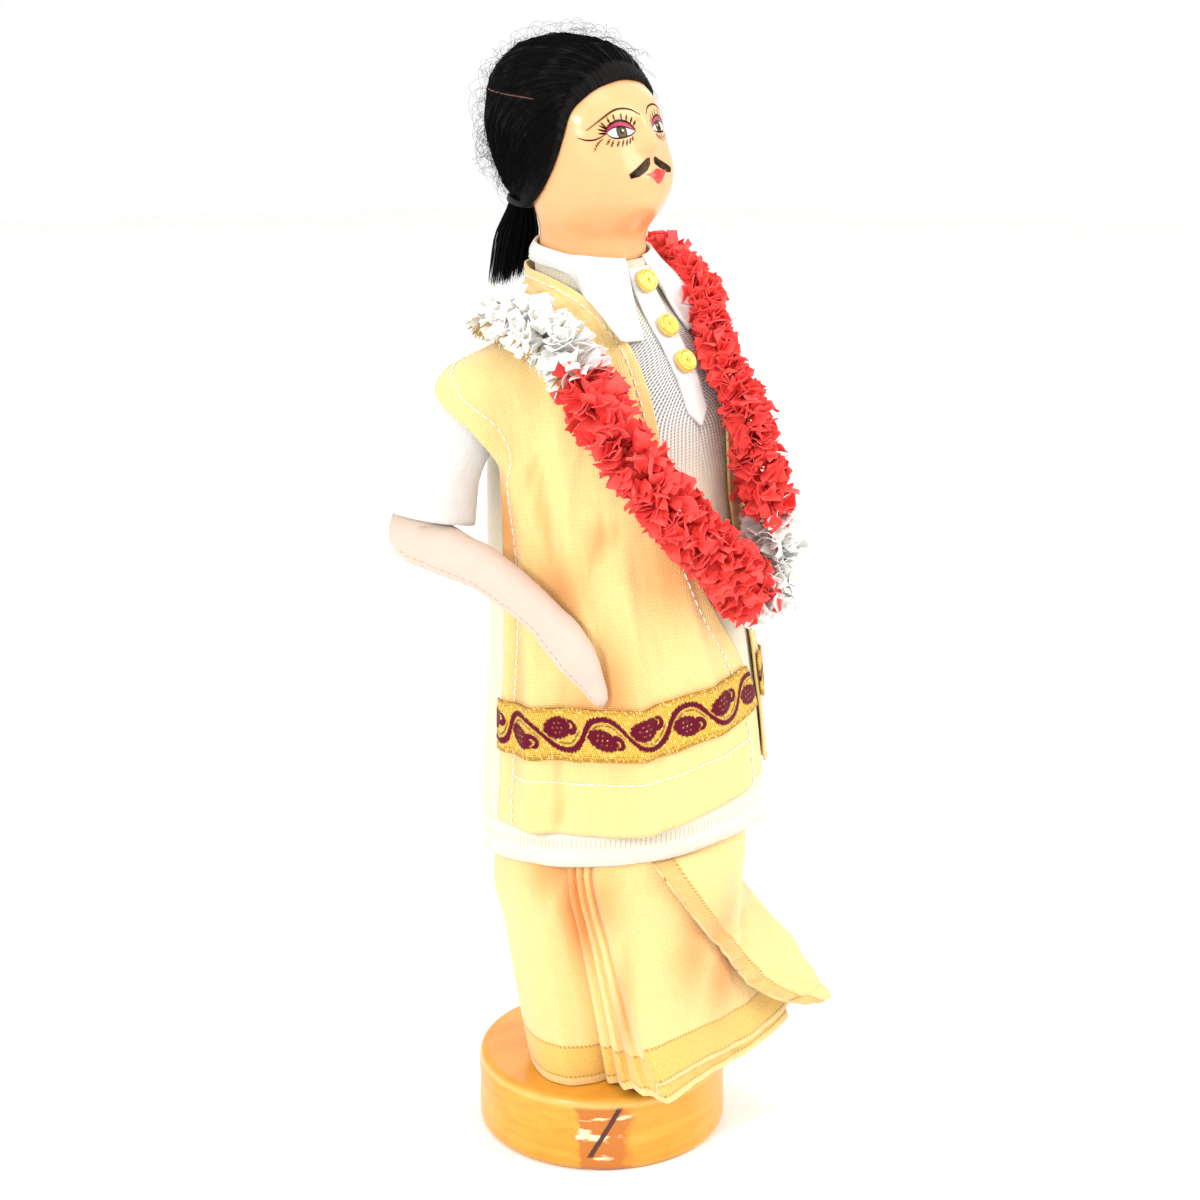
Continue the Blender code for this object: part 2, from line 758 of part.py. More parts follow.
def collar(figure, surfaces):
    """The white collar: it stands at the neck and folds down to points on both sides."""
    edges = numbered(COLLAR_EDGES)
    rows, columns = 22, 5
    neck = smooth(HEAD_SECTIONS, 229)[0] * UNIT + 2 * CLEARANCE
    rings = []
    for i in range(rows + 1):
        inner_angle, outer_angle, outer_height = smooth(edges, i / rows)
        back = (1 - math.cos(math.radians(inner_angle))) / 2
        inner_height = 224.8 + 3 * back**0.7
        ring = []
        for j in range(columns):
            share = j / (columns - 1)
            angle = inner_angle + (outer_angle - inner_angle) * share
            height = (inner_height + (outer_height - inner_height) * share) * UNIT
            outer_reach = reach(surfaces, outer_angle, outer_height * UNIT) + CLEARANCE
            line = neck + (outer_reach - neck) * share + 0.9 * UNIT * math.sin(math.pi * share)
            floor = reach(surfaces, angle, height) + CLEARANCE + FACET_ROOM
            ring.append(spot(angle, max(line, floor), height))
        rings.append(ring)
    lift_off(rings, surfaces, CLEARANCE + FACET_ROOM / 3)
    return cloth("collar", rings, COLLAR_THICKNESS, material("collar", (0.93, 0.92, 0.9), 0.7), figure)


def front_of(surface, across, height):
    """Where a line from straight ahead meets the surface, with the way it faces."""
    point, normal, _, _ = surface.ray_cast(Vector((across, -FAR, height)), Vector((0, 1, 0)), 2 * FAR)
    return point, normal


def placket(figure, garment):
    """The white strip down the chest, ending in a point."""
    surface = trees(garment)[0]
    rows, columns = 8, 5
    top, bottom = 220.5 * UNIT, 184.4 * UNIT
    rings = []
    for i in range(rows + 1):
        ring = []
        for j in range(columns):
            across = (j / (columns - 1) - 0.5) * PLACKET_WIDTH
            end = bottom + abs(across)
            height = end + (top - end) * i / rows
            point, normal = front_of(surface, across, height)
            ring.append(point + normal * (CLEARANCE + FACET_ROOM / 2))
        rings.append(ring)
    finish = material("placket", (0.93, 0.92, 0.9), 0.7)
    return cloth("placket", rings, PLACKET_THICKNESS, finish, figure)


def button(name, height, strip, figure, finish):
    """A round stud lying flat on the placket."""
    surface = trees(strip)[0]
    point, normal = front_of(surface, 0, height * UNIT)
    bpy.ops.mesh.primitive_cylinder_add(
        vertices=12, radius=BUTTON_DIAMETER / 2, depth=BUTTON_THICKNESS
    )
    stud = keep_primitive(name, finish, figure)
    stud.location = point + normal * (BUTTON_THICKNESS / 2 + 2 * CLEARANCE)
    turn_to(stud, normal)
    bevel(stud, BUTTON_THICKNESS / 4, 1)
    return stud


def dhoti_waist(angle, height):
    """How far out the waist cloth may stand inside the kurta's skirt."""
    return kurta_radius(angle, max(height, KURTA_HEM_BACK)) - KURTA_WALL - 2.5 * CLEARANCE


def dhoti_radius(angle, out, groove, level, height):
    """How far out the dhoti is: from its hem's distance at level 0 to the waist's at level 1."""
    waist = dhoti_waist(angle, height) - groove * UNIT
    flare = (1 - level) ** 1.45
    straight = waist + (out * UNIT - waist) * flare
    below_kurta = (kurta_hem(angle) - height) / UNIT
    bulge = 1.3 * bump((below_kurta - 12) / 7)
    here = (angle + 180) % 360 - 180
    pinch = 3.5 * bump((height / UNIT - 46) / 20) * bump((here + 52) / 36)
    return straight + (bulge - pinch) * UNIT


def dhoti(figure):
    """The waist cloth: pleats gathered at the waist that open out to the hem, resting on the base."""
    levels = (0, 0.07, 0.18, 0.33, 0.5, 0.66, 0.78, 0.88, 1)
    rings = []
    for level in levels:
        ring = []
        for column in range(54):
            angle, out, low, top_angle, groove = dhoti_hem(column / 54)
            height = (low + (DHOTI_TOP / UNIT - low) * level) * UNIT
            height = max(height, CLEARANCE)
            here = angle + (top_angle - angle) * min(1, level * 1.25) ** 0.9
            ring.append(spot(here, dhoti_radius(here, out, groove, level, height), height))
        rings.append(ring)
    return add("dhoti", loft("dhoti", rings), material("waist cloth", (0.85, 0.66, 0.36), 0.7), figure)


def dhoti_hem(share):
    """The hem's table at a share of the way round, with more steps where the pleats are."""
    rows = DHOTI_HEM + [(180, *DHOTI_HEM[0][1:3], 180, 0)]
    place = share * (len(rows) - 1)
    low = int(place)
    first, second = rows[low], rows[min(low + 1, len(rows) - 1)]
    return [a + (b - a) * (place - low) for a, b in zip(first, second)]


def flap_flare(angle, height):
    """How far the flap stands out from the pleats, most at its point."""
    fall = max(0, FLAP_FLARE_TOP - height / UNIT)
    return 0.127 * fall**1.25 * bump((angle - FLAP_POINT_ANGLE) / FLAP_SPREAD) * UNIT


def dhoti_flap(figure, under):
    """The loose end of the waist cloth, lying over the pleats and running out to a point."""
    surfaces = trees(under)
    rows, columns = 11, 10
    edges = numbered(FLAP_EDGES)
    rings = []
    for i in range(rows + 1):
        free_angle, free_height, back_angle, back_height = smooth(edges, i / rows)
        ring = []
        for j in range(columns):
            share = j / (columns - 1)
            angle = free_angle + (back_angle - free_angle) * share
            height = (free_height + (back_height - free_height) * share) * UNIT
            floor = reach(surfaces, angle, height) + CLEARANCE + FACET_ROOM
            ring.append(spot(angle, floor + flap_flare(angle, height), height))
        rings.append(ring)
    lift_off(rings, surfaces, CLEARANCE + FACET_ROOM)
    finish = material("waist cloth flap", (0.85, 0.66, 0.36), 0.7)
    return cloth("dhoti_flap", rings, FLAP_THICKNESS, finish, figure)


def garland_course(surfaces):
    """Points along the garland's middle resting on the clothes, with their angles and half thicknesses."""
    table = numbered(GARLAND_COURSE)
    count = 76
    rows = [smooth(table, i / count) for i in range(count + 1)]
    angles = [row[0] for row in rows]
    sizes = [row[2] * GARLAND_DIAMETER / 2 for row in rows]
    points = []
    for (angle, height, _), size in zip(rows, sizes):
        out = reach(surfaces, angle, height * UNIT) + size
        points.append(spot(angle, out, height * UNIT))
    for _ in range(3):
        points = [pushed_out(surfaces, point, size + CLEARANCE) for point, size in zip(points, sizes)]
        points = [
            (points[max(i - 1, 0)] + points[i] * 2 + points[min(i + 1, count)]) / 4 for i in range(count + 1)
        ]
    points = [pushed_out(surfaces, point, size + CLEARANCE) for point, size in zip(points, sizes)]
    return points, angles, sizes


def garland(surfaces, figure):
    """The garland in its coloured sections, each a string of frilled florets; gives its points back."""
    points, angles, sizes = garland_course(surfaces)

    def frill(i, turn):
        ripple = 0.06 * math.cos(4 * turn + i * 1.9)
        return [sizes[i] * ((0.93 if i % 2 else 0.8) + ripple)] * 2

    rings = tube_rings(points, 8, frill)
    for name, first, last, colour in GARLAND_PARTS:
        start = min(range(len(angles)), key=lambda i: abs(angles[i] - first))
        end = min(range(len(angles)), key=lambda i: abs(angles[i] - last))
        section = rings[start : end + 1]
        for place, at, inner in ((0, start, start + 1), (-1, end, end - 1)):
            inward = (points[inner] - points[at]).normalized() * CLEARANCE
            section[place] = [points[at].lerp(p, GARLAND_END_SHARE) + inward for p in section[place]]
        add(name, loft(name, section), material(name.replace("_", " "), colour, 0.75), figure)
    return points


def build():
    base()
    figure = bpy.data.objects.new("figure", None)
    COLLECTION.objects.link(figure)
    figure.location = (0, 0, BASE_HEIGHT)
    shirt = kurta(figure)
    grown = as_cutter(add("room for the kurta", loft("grown", kurta_rings(CLEARANCE)), None, figure))
    sleeve_cloth = material("sleeve cloth", (0.92, 0.91, 0.88), 0.8)
    right_sleeve = sleeve("sleeve_right", SLEEVE_RIGHT, figure, grown, sleeve_cloth)
    left_sleeve = sleeve("sleeve_left", SLEEVE_LEFT, figure, grown, sleeve_cloth)
    skull = head(figure)
    shawl_rings = shawl_grid(trees(shirt, right_sleeve, left_sleeve))
    wrap = cloth("shawl", shawl_rings, SHAWL_THICKNESS, material("shawl", (0.85, 0.66, 0.36), 0.7), figure)
    ribbon = material("woven ribbon", (0.55, 0.33, 0.06), 0.5, 0.3)
    right_border = shawl_border("shawl_border_right", shawl_rings, figure, ribbon)
    left_border = shawl_border("shawl_border_left", shawl_rings[::-1], figure, ribbon)
    neckwear = collar(figure, trees(shirt, skull, wrap))
    strip = placket(figure, shirt)
    gold = material("gold paint", (0.75, 0.48, 0.10), 0.35, 0.4)
    studs = [button(name, height, strip, figure, gold) for name, height in BUTTON_HEIGHTS.items()]
    legs = dhoti(figure)
    dhoti_flap(figure, legs)
    stuffing = material("arm cloth", (0.88, 0.70, 0.58), 0.8)
    worn = trees(shirt, wrap, right_border, left_border)
    arm("arm_right", ARM_RIGHT, SLEEVE_RIGHT, worn, figure, stuffing)
    arm("arm_left", ARM_LEFT, SLEEVE_LEFT, worn, figure, stuffing)
    under = trees(shirt, wrap, neckwear, skull, strip, right_sleeve, left_sleeve, *studs)
    points = garland(under, figure)
    nape = min(points, key=lambda p: abs(p.x) - p.y)
    tail_end = Vector((0, nape.y + GARLAND_DIAMETER / 8, nape.z + GARLAND_DIAMETER / 2 + 3 * CLEARANCE))
    hair(figure, skull, tail_end)
    hair_tie(figure, tail_end)


for leftover in list(bpy.data.objects):
    bpy.data.objects.remove(leftover, do_unlink=True)
COLLECTION = bpy.data.collections.new("decorative doll")
CUTTERS = bpy.data.collections.new("cutters")
bpy.context.scene.collection.children.link(COLLECTION)
bpy.context.scene.collection.children.link(CUTTERS)
build()
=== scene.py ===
"""Decorative doll: a cloth bridegroom on a wooden base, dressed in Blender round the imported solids.

Each operator makes one piece, or one group of like pieces. The doll faces -Y and its right hand is on
the -X side. Points on it are given round the body: an angle from its front towards its right, a distance
out and a height above the base. Drawn values are in units of a 278.4 unit figure; everything else is in
metres.
"""
import functools
import math

import bpy
import numpy as np
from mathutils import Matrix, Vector
from mathutils.bvhtree import BVHTree


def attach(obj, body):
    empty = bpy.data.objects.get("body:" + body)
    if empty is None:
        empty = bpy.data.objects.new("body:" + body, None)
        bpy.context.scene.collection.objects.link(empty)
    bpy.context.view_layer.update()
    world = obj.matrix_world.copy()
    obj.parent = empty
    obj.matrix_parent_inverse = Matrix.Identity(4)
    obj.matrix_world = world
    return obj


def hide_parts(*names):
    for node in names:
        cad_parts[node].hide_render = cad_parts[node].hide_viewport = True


bl_info = {
    "name": "Decorative doll",
    "version": (1, 0, 0),
    "blender": (4, 5, 0),
    "location": "3D View > Sidebar > Doll",
    "description": "Makes a costume doll in a shirt, shawl, pleated waist cloth and paper garland",
    "category": "Object",
}

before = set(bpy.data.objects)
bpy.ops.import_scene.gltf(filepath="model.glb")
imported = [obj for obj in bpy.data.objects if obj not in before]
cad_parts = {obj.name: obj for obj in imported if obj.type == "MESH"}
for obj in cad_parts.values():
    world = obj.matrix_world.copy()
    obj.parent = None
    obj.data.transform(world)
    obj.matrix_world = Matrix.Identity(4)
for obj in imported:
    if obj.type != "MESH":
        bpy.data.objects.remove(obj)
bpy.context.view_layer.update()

# Sizes that the solids have too, in metres
BASE_DIAMETER = 0.069
BASE_HEIGHT = 0.0216
FIGURE_HEIGHT = 0.2784
CLEARANCE = 0.0003
KURTA_WALL = 0.0012
CUFF_DEPTH = 0.009
BORDER_WIDTH = 0.0138
BORDER_FROM_HEM = 0.020
PLACKET_WIDTH = 0.0075
BUTTON_DIAMETER = 0.006
BUTTON_THICKNESS = 0.0016
GARLAND_DIAMETER = 0.0166
TAIL_DIAMETER = 0.0072
FACET_ROOM = 0.0005

# How thick the dressed cloths are, and the radii of hairs and threads, in metres
SHIRT_CLOTH = 0.0006
SHAWL_CLOTH = 0.0007
COLLAR_CLOTH = 0.0009
PLACKET_CLOTH = 0.0008
RIBBON_CLOTH = 0.0005
PAPER = 0.00012
COMBED_HAIR = 0.00011
TAIL_HAIR = 0.00013
FRIZZ_HAIR = 0.00003
FUZZ_HAIR = 0.00004
TIE_THREAD = 0.00034
BAND_THREAD = 0.00017
ROLLED_EDGE = 0.00042

DRAWN_HEIGHT = 278.4
UNIT = FIGURE_HEIGHT / DRAWN_HEIGHT
FAR = 120 * UNIT
LIFT = Vector((0, 0, BASE_HEIGHT))

# Heights, half widths, half depths and how far forward of the axis the middle is, hem to neck
KURTA_SECTIONS = (
    (60, 37, 36.5, 8), (78, 36.5, 36.5, 7.5), (98, 34.5, 35.5, 7), (118, 33, 34, 6.5),
    (138, 32.5, 33, 5.5), (158, 33, 31.5, 4.8), (176, 34.5, 29.2, 4.8), (188, 34.5, 27, 5),
    (196, 31, 24, 4.5), (203, 25.5, 20.3, 3.8), (209, 20.6, 18, 1.4), (214, 17.2, 16, -0.6),
    (219, 15.2, 14.8, -2), (224.4, 14.2, 14.2, -3.2), (250, 14.2, 14.2, -3.2),
)
KURTA_TOP = 224.4 * UNIT
KURTA_HEM_BACK = 63 * UNIT
KURTA_HEM_FRONT = 75 * UNIT
SECTION_POWER = 2.25

# The head, neck included, in the same way
HEAD_SECTIONS = (
    (221.5, 12.4, 12.4, -3), (224.8, 13.2, 13.2, -3.2), (228, 13.1, 13.1, -3.2),
    (231.4, 13.3, 13.6, -2.8), (236, 14.6, 16.2, -1.5), (241, 16, 18.1, -0.8), (247.4, 16.6, 18.1, -1),
    (252.4, 16.8, 17.4, -1.8), (257.6, 16.7, 17.1, -3), (262, 16.2, 17, -4.2), (265.5, 14.9, 15.7, -5.4),
    (268.6, 12.6, 13.4, -6.6), (271, 9.4, 10.2, -7.5), (272.8, 5.2, 5.6, -8),
)
HEAD_MIDDLE = Vector((0, 3.5, 254)) * UNIT
HEAD_TILT = math.radians(12)
TAIL_KNOT = Vector((0, 28.2, 235.5)) * UNIT
# Angle from the front, height, how far it stands out, its half angle and half height
FACE_FORMS = [
    (0, 254.4, 2.9, 9, 2.8), (0, 258.6, 1.2, 7.5, 4.2), (0, 246.2, 1.1, 12, 2.0), (0, 239, 1.3, 18, 3.6),
    (31, 247.5, 0.7, 18, 5.0), (-31, 247.5, 0.7, 18, 5.0), (22, 258.5, -0.6, 13, 3.2),
    (-22, 258.5, -0.6, 13, 3.2),
]

# Round the face from its top: how far back the hair starts, in degrees from straight ahead
HAIRLINE = (
    (0, 44), (20, 45), (36, 49), (52, 55), (67, 63), (86, 70), (105, 82), (123, 101), (140, 125),
    (160, 145), (180, 153),
)

# The shawl's two long edges, from the right hem round the neck: angle and height of each
SHAWL_EDGES = [
    (-27, 88, 107, 78.5), (-25, 104, 107, 95.5), (-12, 123, 106, 114), (8, 143, 100, 142),
    (24, 170, 100, 166), (34, 200, 95, 182), (46, 213.5, 106, 197), (76, 220.2, 130, 200),
    (120, 221.9, 153, 197.5), (180, 221.9, 180, 196), (240, 221.9, 207, 197.5), (284, 220.2, 230, 200),
    (319, 209.5, 254, 197), (338, 191, 265, 182), (346, 171, 261, 166), (343, 149, 260, 142),
    (333, 123, 254, 114), (325, 104, 253, 95.5), (321, 88, 253, 78.5),
]

# The collar from its right point round the back: angle at the neck, then angle and height outside
COLLAR_EDGES = [
    (14, 25, 206.2), (30, 41, 208), (50, 50, 214.5), (76, 70, 221.2), (112, 109, 223.1),
    (146, 145, 223.3), (180, 180, 223.3), (214, 215, 223.3), (248, 251, 223.1), (284, 290, 221.2),
    (310, 310, 214.5), (330, 319, 208), (346, 335, 206.2),
]

# The dhoti's hem: angle, distance out and height, then its angle at the waist and its groove there
DHOTI_HEM = [
    (-180, 27, 0.3, -180, 0), (-130, 27.5, 0.3, -130, 0), (-100, 29, 0.3, -100, 0),
    (-75, 32.5, 2, -77, 1.2), (-57, 40, 7, -58, 3), (-43, 47.5, 10.5, -43, 3.8), (-32, 41.5, 7.5, -28, 3),
    (-15, 35, 5.2, -7, 1.2), (0, 33.6, 4.9, 16, 0), (12, 35.2, 4.9, 34, 0), (22, 38, 4.9, 48, 0.4),
    (31, 42.2, 4.9, 59, 0.2), (34.5, 34.5, 4.4, 62, 2.6), (38.5, 33.6, 4.2, 64, 0.6),
    (42, 27, 3.2, 66, 2.6), (47, 27.4, 2.8, 68, 0.8), (51, 20.6, 1.6, 70.5, 3.0),
    (58, 21.2, 1.2, 73, 1.4), (63, 16.6, 0.3, 77.5, 4.6), (72, 20.5, 0.3, 84, 1.6),
    (84, 25.3, 0.3, 93, 0.2), (100, 26.6, 0.3, 104, 0), (125, 25.8, 0.3, 128, 0), (150, 26, 0.3, 152, 0),
]
DHOTI_TOP = 83 * UNIT

# The flap's free edge from the waist to its point, then its back edge: angle and height
FLAP_EDGES = [
    (45, 81, -112, 73), (19, 56, -112, 50), (-3, 39.5, -112, 38), (-18, 27, -112, 26),
    (-33, 18.5, -112, 14), (-43.5, 15.8, -112, 2.5),
]
FLAP_POINT_ANGLE = -45
FLAP_SPREAD = 27
FLAP_FLARE_TOP = 52

# Points along the middle of each arm from inside the cuff to the hand's tip: right, front, height,
# half width and half thickness
ARM_RIGHT = [
    (52, -14.5, 167, 5.2, 5.0), (54.5, -15, 160, 7.3, 6.0), (51.5, -6, 155.2, 6.4, 5.6),
    (47.5, 3.5, 151.4, 5.7, 5.3), (44.3, 11, 146.2, 5.3, 5.0), (41, 16.5, 141, 4.9, 4.6),
    (36.5, 23.5, 132.5, 5.6, 4.5), (33.3, 28, 122.5, 3.2, 2.8), (31.3, 29.5, 115.5, 1.3, 1.3),
]
ARM_LEFT = [
    (-45, -13, 166, 5.5, 5.0), (-46, -13.4, 155, 6.8, 6.2), (-45.8, -13, 142, 6.6, 6.0),
    (-45, -12, 129, 6.0, 5.6), (-44.4, -11, 117, 6.4, 5.2), (-44, -10, 107, 5.6, 4.4),
    (-43.6, -9, 99, 3.2, 2.8), (-43.4, -8.6, 94, 1.4, 1.4),
]
# Which way each arm's seam faces
SEAM_WAYS = {"right": (-0.785, 0.05, -0.46), "left": (0.8, 0.6, 0)}
SLEEVE_RIGHT = [
    (26, -3, 196, 8.5, 8), (36, -6, 193, 9.5, 9), (43, -10, 185, 9.8, 9.2), (47.5, -13, 175, 10.6, 9.4),
    (50.5, -14, 163, 12, 9.8),
]
SLEEVE_LEFT = [
    (-24, -3, 192, 8, 7.5), (-33, -6, 186, 9, 8.5), (-39, -9.5, 177, 9.4, 8.8), (-43, -12, 168, 10, 9.2),
    (-45.5, -13, 157, 11, 9.6),
]

# The garland's course round the body: angle, height and its share of the full thickness
GARLAND_COURSE = [
    (-150, 210, 0.72), (-180, 207.5, 0.62), (-207, 207, 0.62), (-234, 208, 0.7), (-262, 210, 0.84),
    (-284, 210, 0.95), (-298, 203, 1), (-305, 193.5, 1), (-315, 183.5, 1), (-325, 173.5, 1),
    (-338, 162, 1), (-354, 149.5, 1), (-366, 141.5, 1), (-376, 141, 1), (-382, 147, 1), (-381, 156, 1),
    (-378, 167, 0.92), (-377, 178, 0.82), (-378, 190, 0.7), (-386, 201, 0.62), (-400, 209, 0.6),
    (-420, 215, 0.64), (-445, 217.5, 0.72), (-470, 216, 0.76), (-490, 213, 0.74), (-510, 210, 0.72),
]
GARLAND_PARTS = [
    ("garland_nape", -150, -300),
    ("garland_right", -300, -368),
    ("garland_front", -368, -380),
    ("garland_left", -380, -510),
]
BUTTON_HEIGHTS = {"button_upper": 219.2, "button_middle": 208.4, "button_lower": 200.2}

# Painted features of the doll's right half, as angle from the front and height; the left half mirrors it
BROW = [(52.8, 258.0), (39.1, 260.7), (28.7, 262.4), (20.0, 262.9), (10.9, 262.5), (3.8, 261.2)]
LID_TOP = [(38.6, 257.9), (33.2, 259.3), (26.5, 260.1), (20.5, 260.0), (15.4, 259.4), (10.6, 257.9)]
LID_LOW = [(37.3, 257.3), (31.8, 258.3), (25.2, 258.7), (19.9, 258.5), (15.3, 258.0), (11.0, 257.5)]
LOW_LID = [(11.0, 257.4), (15.2, 256.6), (22.7, 256.1), (29.8, 256.0), (33.7, 256.3), (37.3, 257.2)]
IRIS = (23.6, 257.4, 1.75)
LINER_TAIL = [(61.5, 256.1), (54.9, 255.6), (47.0, 255.8), (38.0, 257.0)]
LONG_LASH = [(41.0, 256.0), (46.0, 254.7), (49.8, 252.9)]
UPPER_LASHES = [
    ((36.8, 258.6), (40.6, 259.9)),
    ((33.0, 259.5), (34.4, 261.0)),
    ((28.1, 260.0), (28.6, 261.7)),
    ((22.0, 260.1), (21.3, 261.8)),
    ((17.8, 259.8), (16.0, 261.4)),
    ((13.8, 259.3), (11.5, 260.7)),
    ((11.4, 258.7), (9.0, 259.8)),
]
LOWER_LASHES = [
    ((35.4, 255.8), (38.6, 254.6)),
    ((32.4, 255.5), (35.6, 254.0)),
    ((27.8, 255.4), (30.5, 253.9)),
    ((23.7, 255.5), (26.0, 254.0)),
    ((20.1, 255.6), (22.2, 254.1)),
    ((17.0, 255.8), (18.6, 254.5)),
    ((14.6, 256.2), (15.5, 255.1)),
]
CORNER_LASHES = [
    ((36.5, 257.6), (43.6, 258.2)),
    ((36.8, 257.2), (43.8, 257.2)),
    ((36.5, 258.2), (42.0, 259.1)),
]
MOUSTACHE = [
    (25.0, 247.4), (17.0, 248.8), (10.0, 250.0), (5.0, 250.9), (1.9, 250.8), (2.4, 249.2), (7.0, 247.9),
    (16, 246.5), (24.0, 246.2),
]
LIPS = [
    (10.5, 247.0), (2, 247.5), (-1.5, 248.0), (-4.5, 248.0), (-8, 247.5), (-15.5, 247.2), (-10, 245.8),
    (-6.2, 244.5), (-3, 244.1), (0.2, 244.6), (4.5, 246.0),
]


@functools.cache
def curve(table):
    """A table's places, values and slopes, in rising order of its places."""
    rows = np.array(table, float)
    if rows[0, 0] > rows[-1, 0]:
        rows = rows[::-1]
    places, values = rows[:, 0], rows[:, 1:]
    return places, values, np.gradient(values, places, axis=0)


def smooth(table, at):
    """The values of a table's row at a place between its rows, on one smooth curve through them."""
    places, values, slopes = curve(table)
    at = min(max(at, places[0]), places[-1])
    low = int(min(max(np.searchsorted(places, at) - 1, 0), len(places) - 2))
    span = places[low + 1] - places[low]
    t = (at - places[low]) / span
    start = values[low] * (2 * t**3 - 3 * t**2 + 1) + slopes[low] * span * (t**3 - 2 * t**2 + t)
    end = values[low + 1] * (3 * t**2 - 2 * t**3) + slopes[low + 1] * span * (t**3 - t**2)
    return start + end


def numbered(rows):
    """The same rows, each with its place from 0 to 1 in front."""
    last = len(rows) - 1
    return tuple((i / last, *row) for i, row in enumerate(rows))


def bump(distance):
    """1 at a distance of 0, falling smoothly to nothing past 2; takes numbers and arrays."""
    return np.exp(-distance * distance)


def fade(value, low, high):
    """0 below low, 1 above high and smooth between; takes numbers and arrays."""
    t = np.clip((value - low) / (high - low), 0, 1)
    return t * t * (3 - 2 * t)


def ripple(places, seed, waves):
    """An uneven wave along places from 0 to 1: some sines of seeded sizes, within -1 to 1."""
    rng = np.random.default_rng(seed)
    total = np.zeros_like(np.asarray(places, float))
    weight = 0.0
    for wave in waves:
        size = rng.uniform(0.6, 1) / wave**0.3
        total = total + size * np.sin(2 * np.pi * (places * wave + rng.uniform()))
        weight += size
    return total / weight


def middle(height):
    """How far forward of the axis the body's middle is at a height."""
    return smooth(KURTA_SECTIONS, height / UNIT)[2] * UNIT


def spot(angle, radius, height):
    """The point at an angle from the body's front, a distance out and a height above the base."""
    turn = math.radians(angle)
    return Vector((-radius * math.sin(turn), -middle(height) - radius * math.cos(turn), height)) + LIFT


def section_radius(sections, angle, height):
    half_width, half_depth, _ = smooth(sections, height / UNIT) * UNIT
    across = abs(math.sin(math.radians(angle))) / half_width
    along = abs(math.cos(math.radians(angle))) / half_depth
    return (across**SECTION_POWER + along**SECTION_POWER) ** (-1 / SECTION_POWER)


def drawn_point(row):
    """The point of a table's row that starts with right, front and height."""
    return Vector((-row[0], -row[1], row[2])) * UNIT + LIFT


def round_body(grid):
    """The angle round the body and the height, in units, of every point of a grid."""
    forward = -grid[..., 1] - np.interp(grid[..., 2], [0.08, 0.21, 0.25], [0.008, 0.005, -0.003])
    return np.degrees(np.arctan2(-grid[..., 0], forward)), (grid[..., 2] - BASE_HEIGHT) / UNIT


def kurta_radius(angle, height):
    return section_radius(KURTA_SECTIONS, angle, height)


def kurta_hem(angle):
    share = (1 + math.cos(math.radians(angle - 3))) / 2
    return KURTA_HEM_BACK + (KURTA_HEM_FRONT - KURTA_HEM_BACK) * share


def solids(*names):
    """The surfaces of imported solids, for resting pieces on them."""
    made = []
    for name in names:
        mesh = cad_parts[name].data
        points = [v.co.copy() for v in mesh.vertices]
        made.append(BVHTree.FromPolygons(points, [tuple(p.vertices) for p in mesh.polygons]))
    return made


def surface_of(piece):
    """The surface of a finished piece, with its thickness."""
    return BVHTree.FromObject(piece, bpy.context.evaluated_depsgraph_get())


def front_of_piece(piece):
    """The surface of a finished piece, only where it lies in front of the body's axis."""
    mesh = piece.evaluated_get(bpy.context.evaluated_depsgraph_get()).data
    points = [v.co.copy() for v in mesh.vertices]
    return BVHTree.FromPolygons(points, [tuple(p.vertices) for p in mesh.polygons if p.center.y < 0])


def reach(surfaces, angle, height):
    """How far out the surfaces reach at an angle and a height above the base."""
    start = spot(angle, FAR, height)
    inward = (spot(angle, 0, height) - start).normalized()
    hits = [surface.ray_cast(start, inward, FAR) for surface in surfaces]
    distances = [hit[3] for hit in hits if hit[3] is not None]
    return FAR - min(distances) if distances else 0.0


def pushed_out(surfaces, point, distance):
    """The point moved off the surfaces until they are a distance away."""
    for _ in range(40):
        hits = [surface.find_nearest(point) for surface in surfaces]
        touch, _, _, gap = min(hits, key=lambda hit: hit[3])
        if gap >= distance:
            break
        point = point + (point - touch).normalized() * (distance - gap + CLEARANCE / 10)
    return point


def lift_off(rings, surfaces, distance):
    """Moves a sheet's points out until its faces, not only its corners, clear the surfaces."""
    for _ in range(4):
        for i in range(len(rings) - 1):
            for j in range(len(rings[0]) - 1):
                for corners in (
                    [(i, j), (i, j + 1), (i + 1, j + 1), (i + 1, j)],
                    [(i, j), (i, j + 1)],
                    [(i + 1, j), (i + 1, j + 1)],
                    [(i, j), (i + 1, j)],
                    [(i, j + 1), (i + 1, j + 1)],
                    [(i, j), (i + 1, j + 1)],
                ):
                    sample = sum((rings[a][b] for a, b in corners), Vector()) / len(corners)
                    height = sample.z - BASE_HEIGHT
                    outward = Vector((sample.x, sample.y + middle(height), 0))
                    angle = math.degrees(math.atan2(-outward.x, -outward.y))
                    short = reach(surfaces, angle, height) + distance - outward.length
                    if short > 0:
                        for a, b in corners:
                            rings[a][b] = rings[a][b] + outward.normalized() * short


def eased(floor, rounds):
    """A grid of distances drawn tight like cloth, nowhere under its floor."""
    grid = floor.copy()
    for _ in range(rounds):
        padded = np.pad(grid, 1, mode="edge")
        around = padded[:-2, 1:-1] + padded[2:, 1:-1] + padded[1:-1, :-2] + padded[1:-1, 2:]
        grid = np.maximum(floor, around / 4)
    return grid


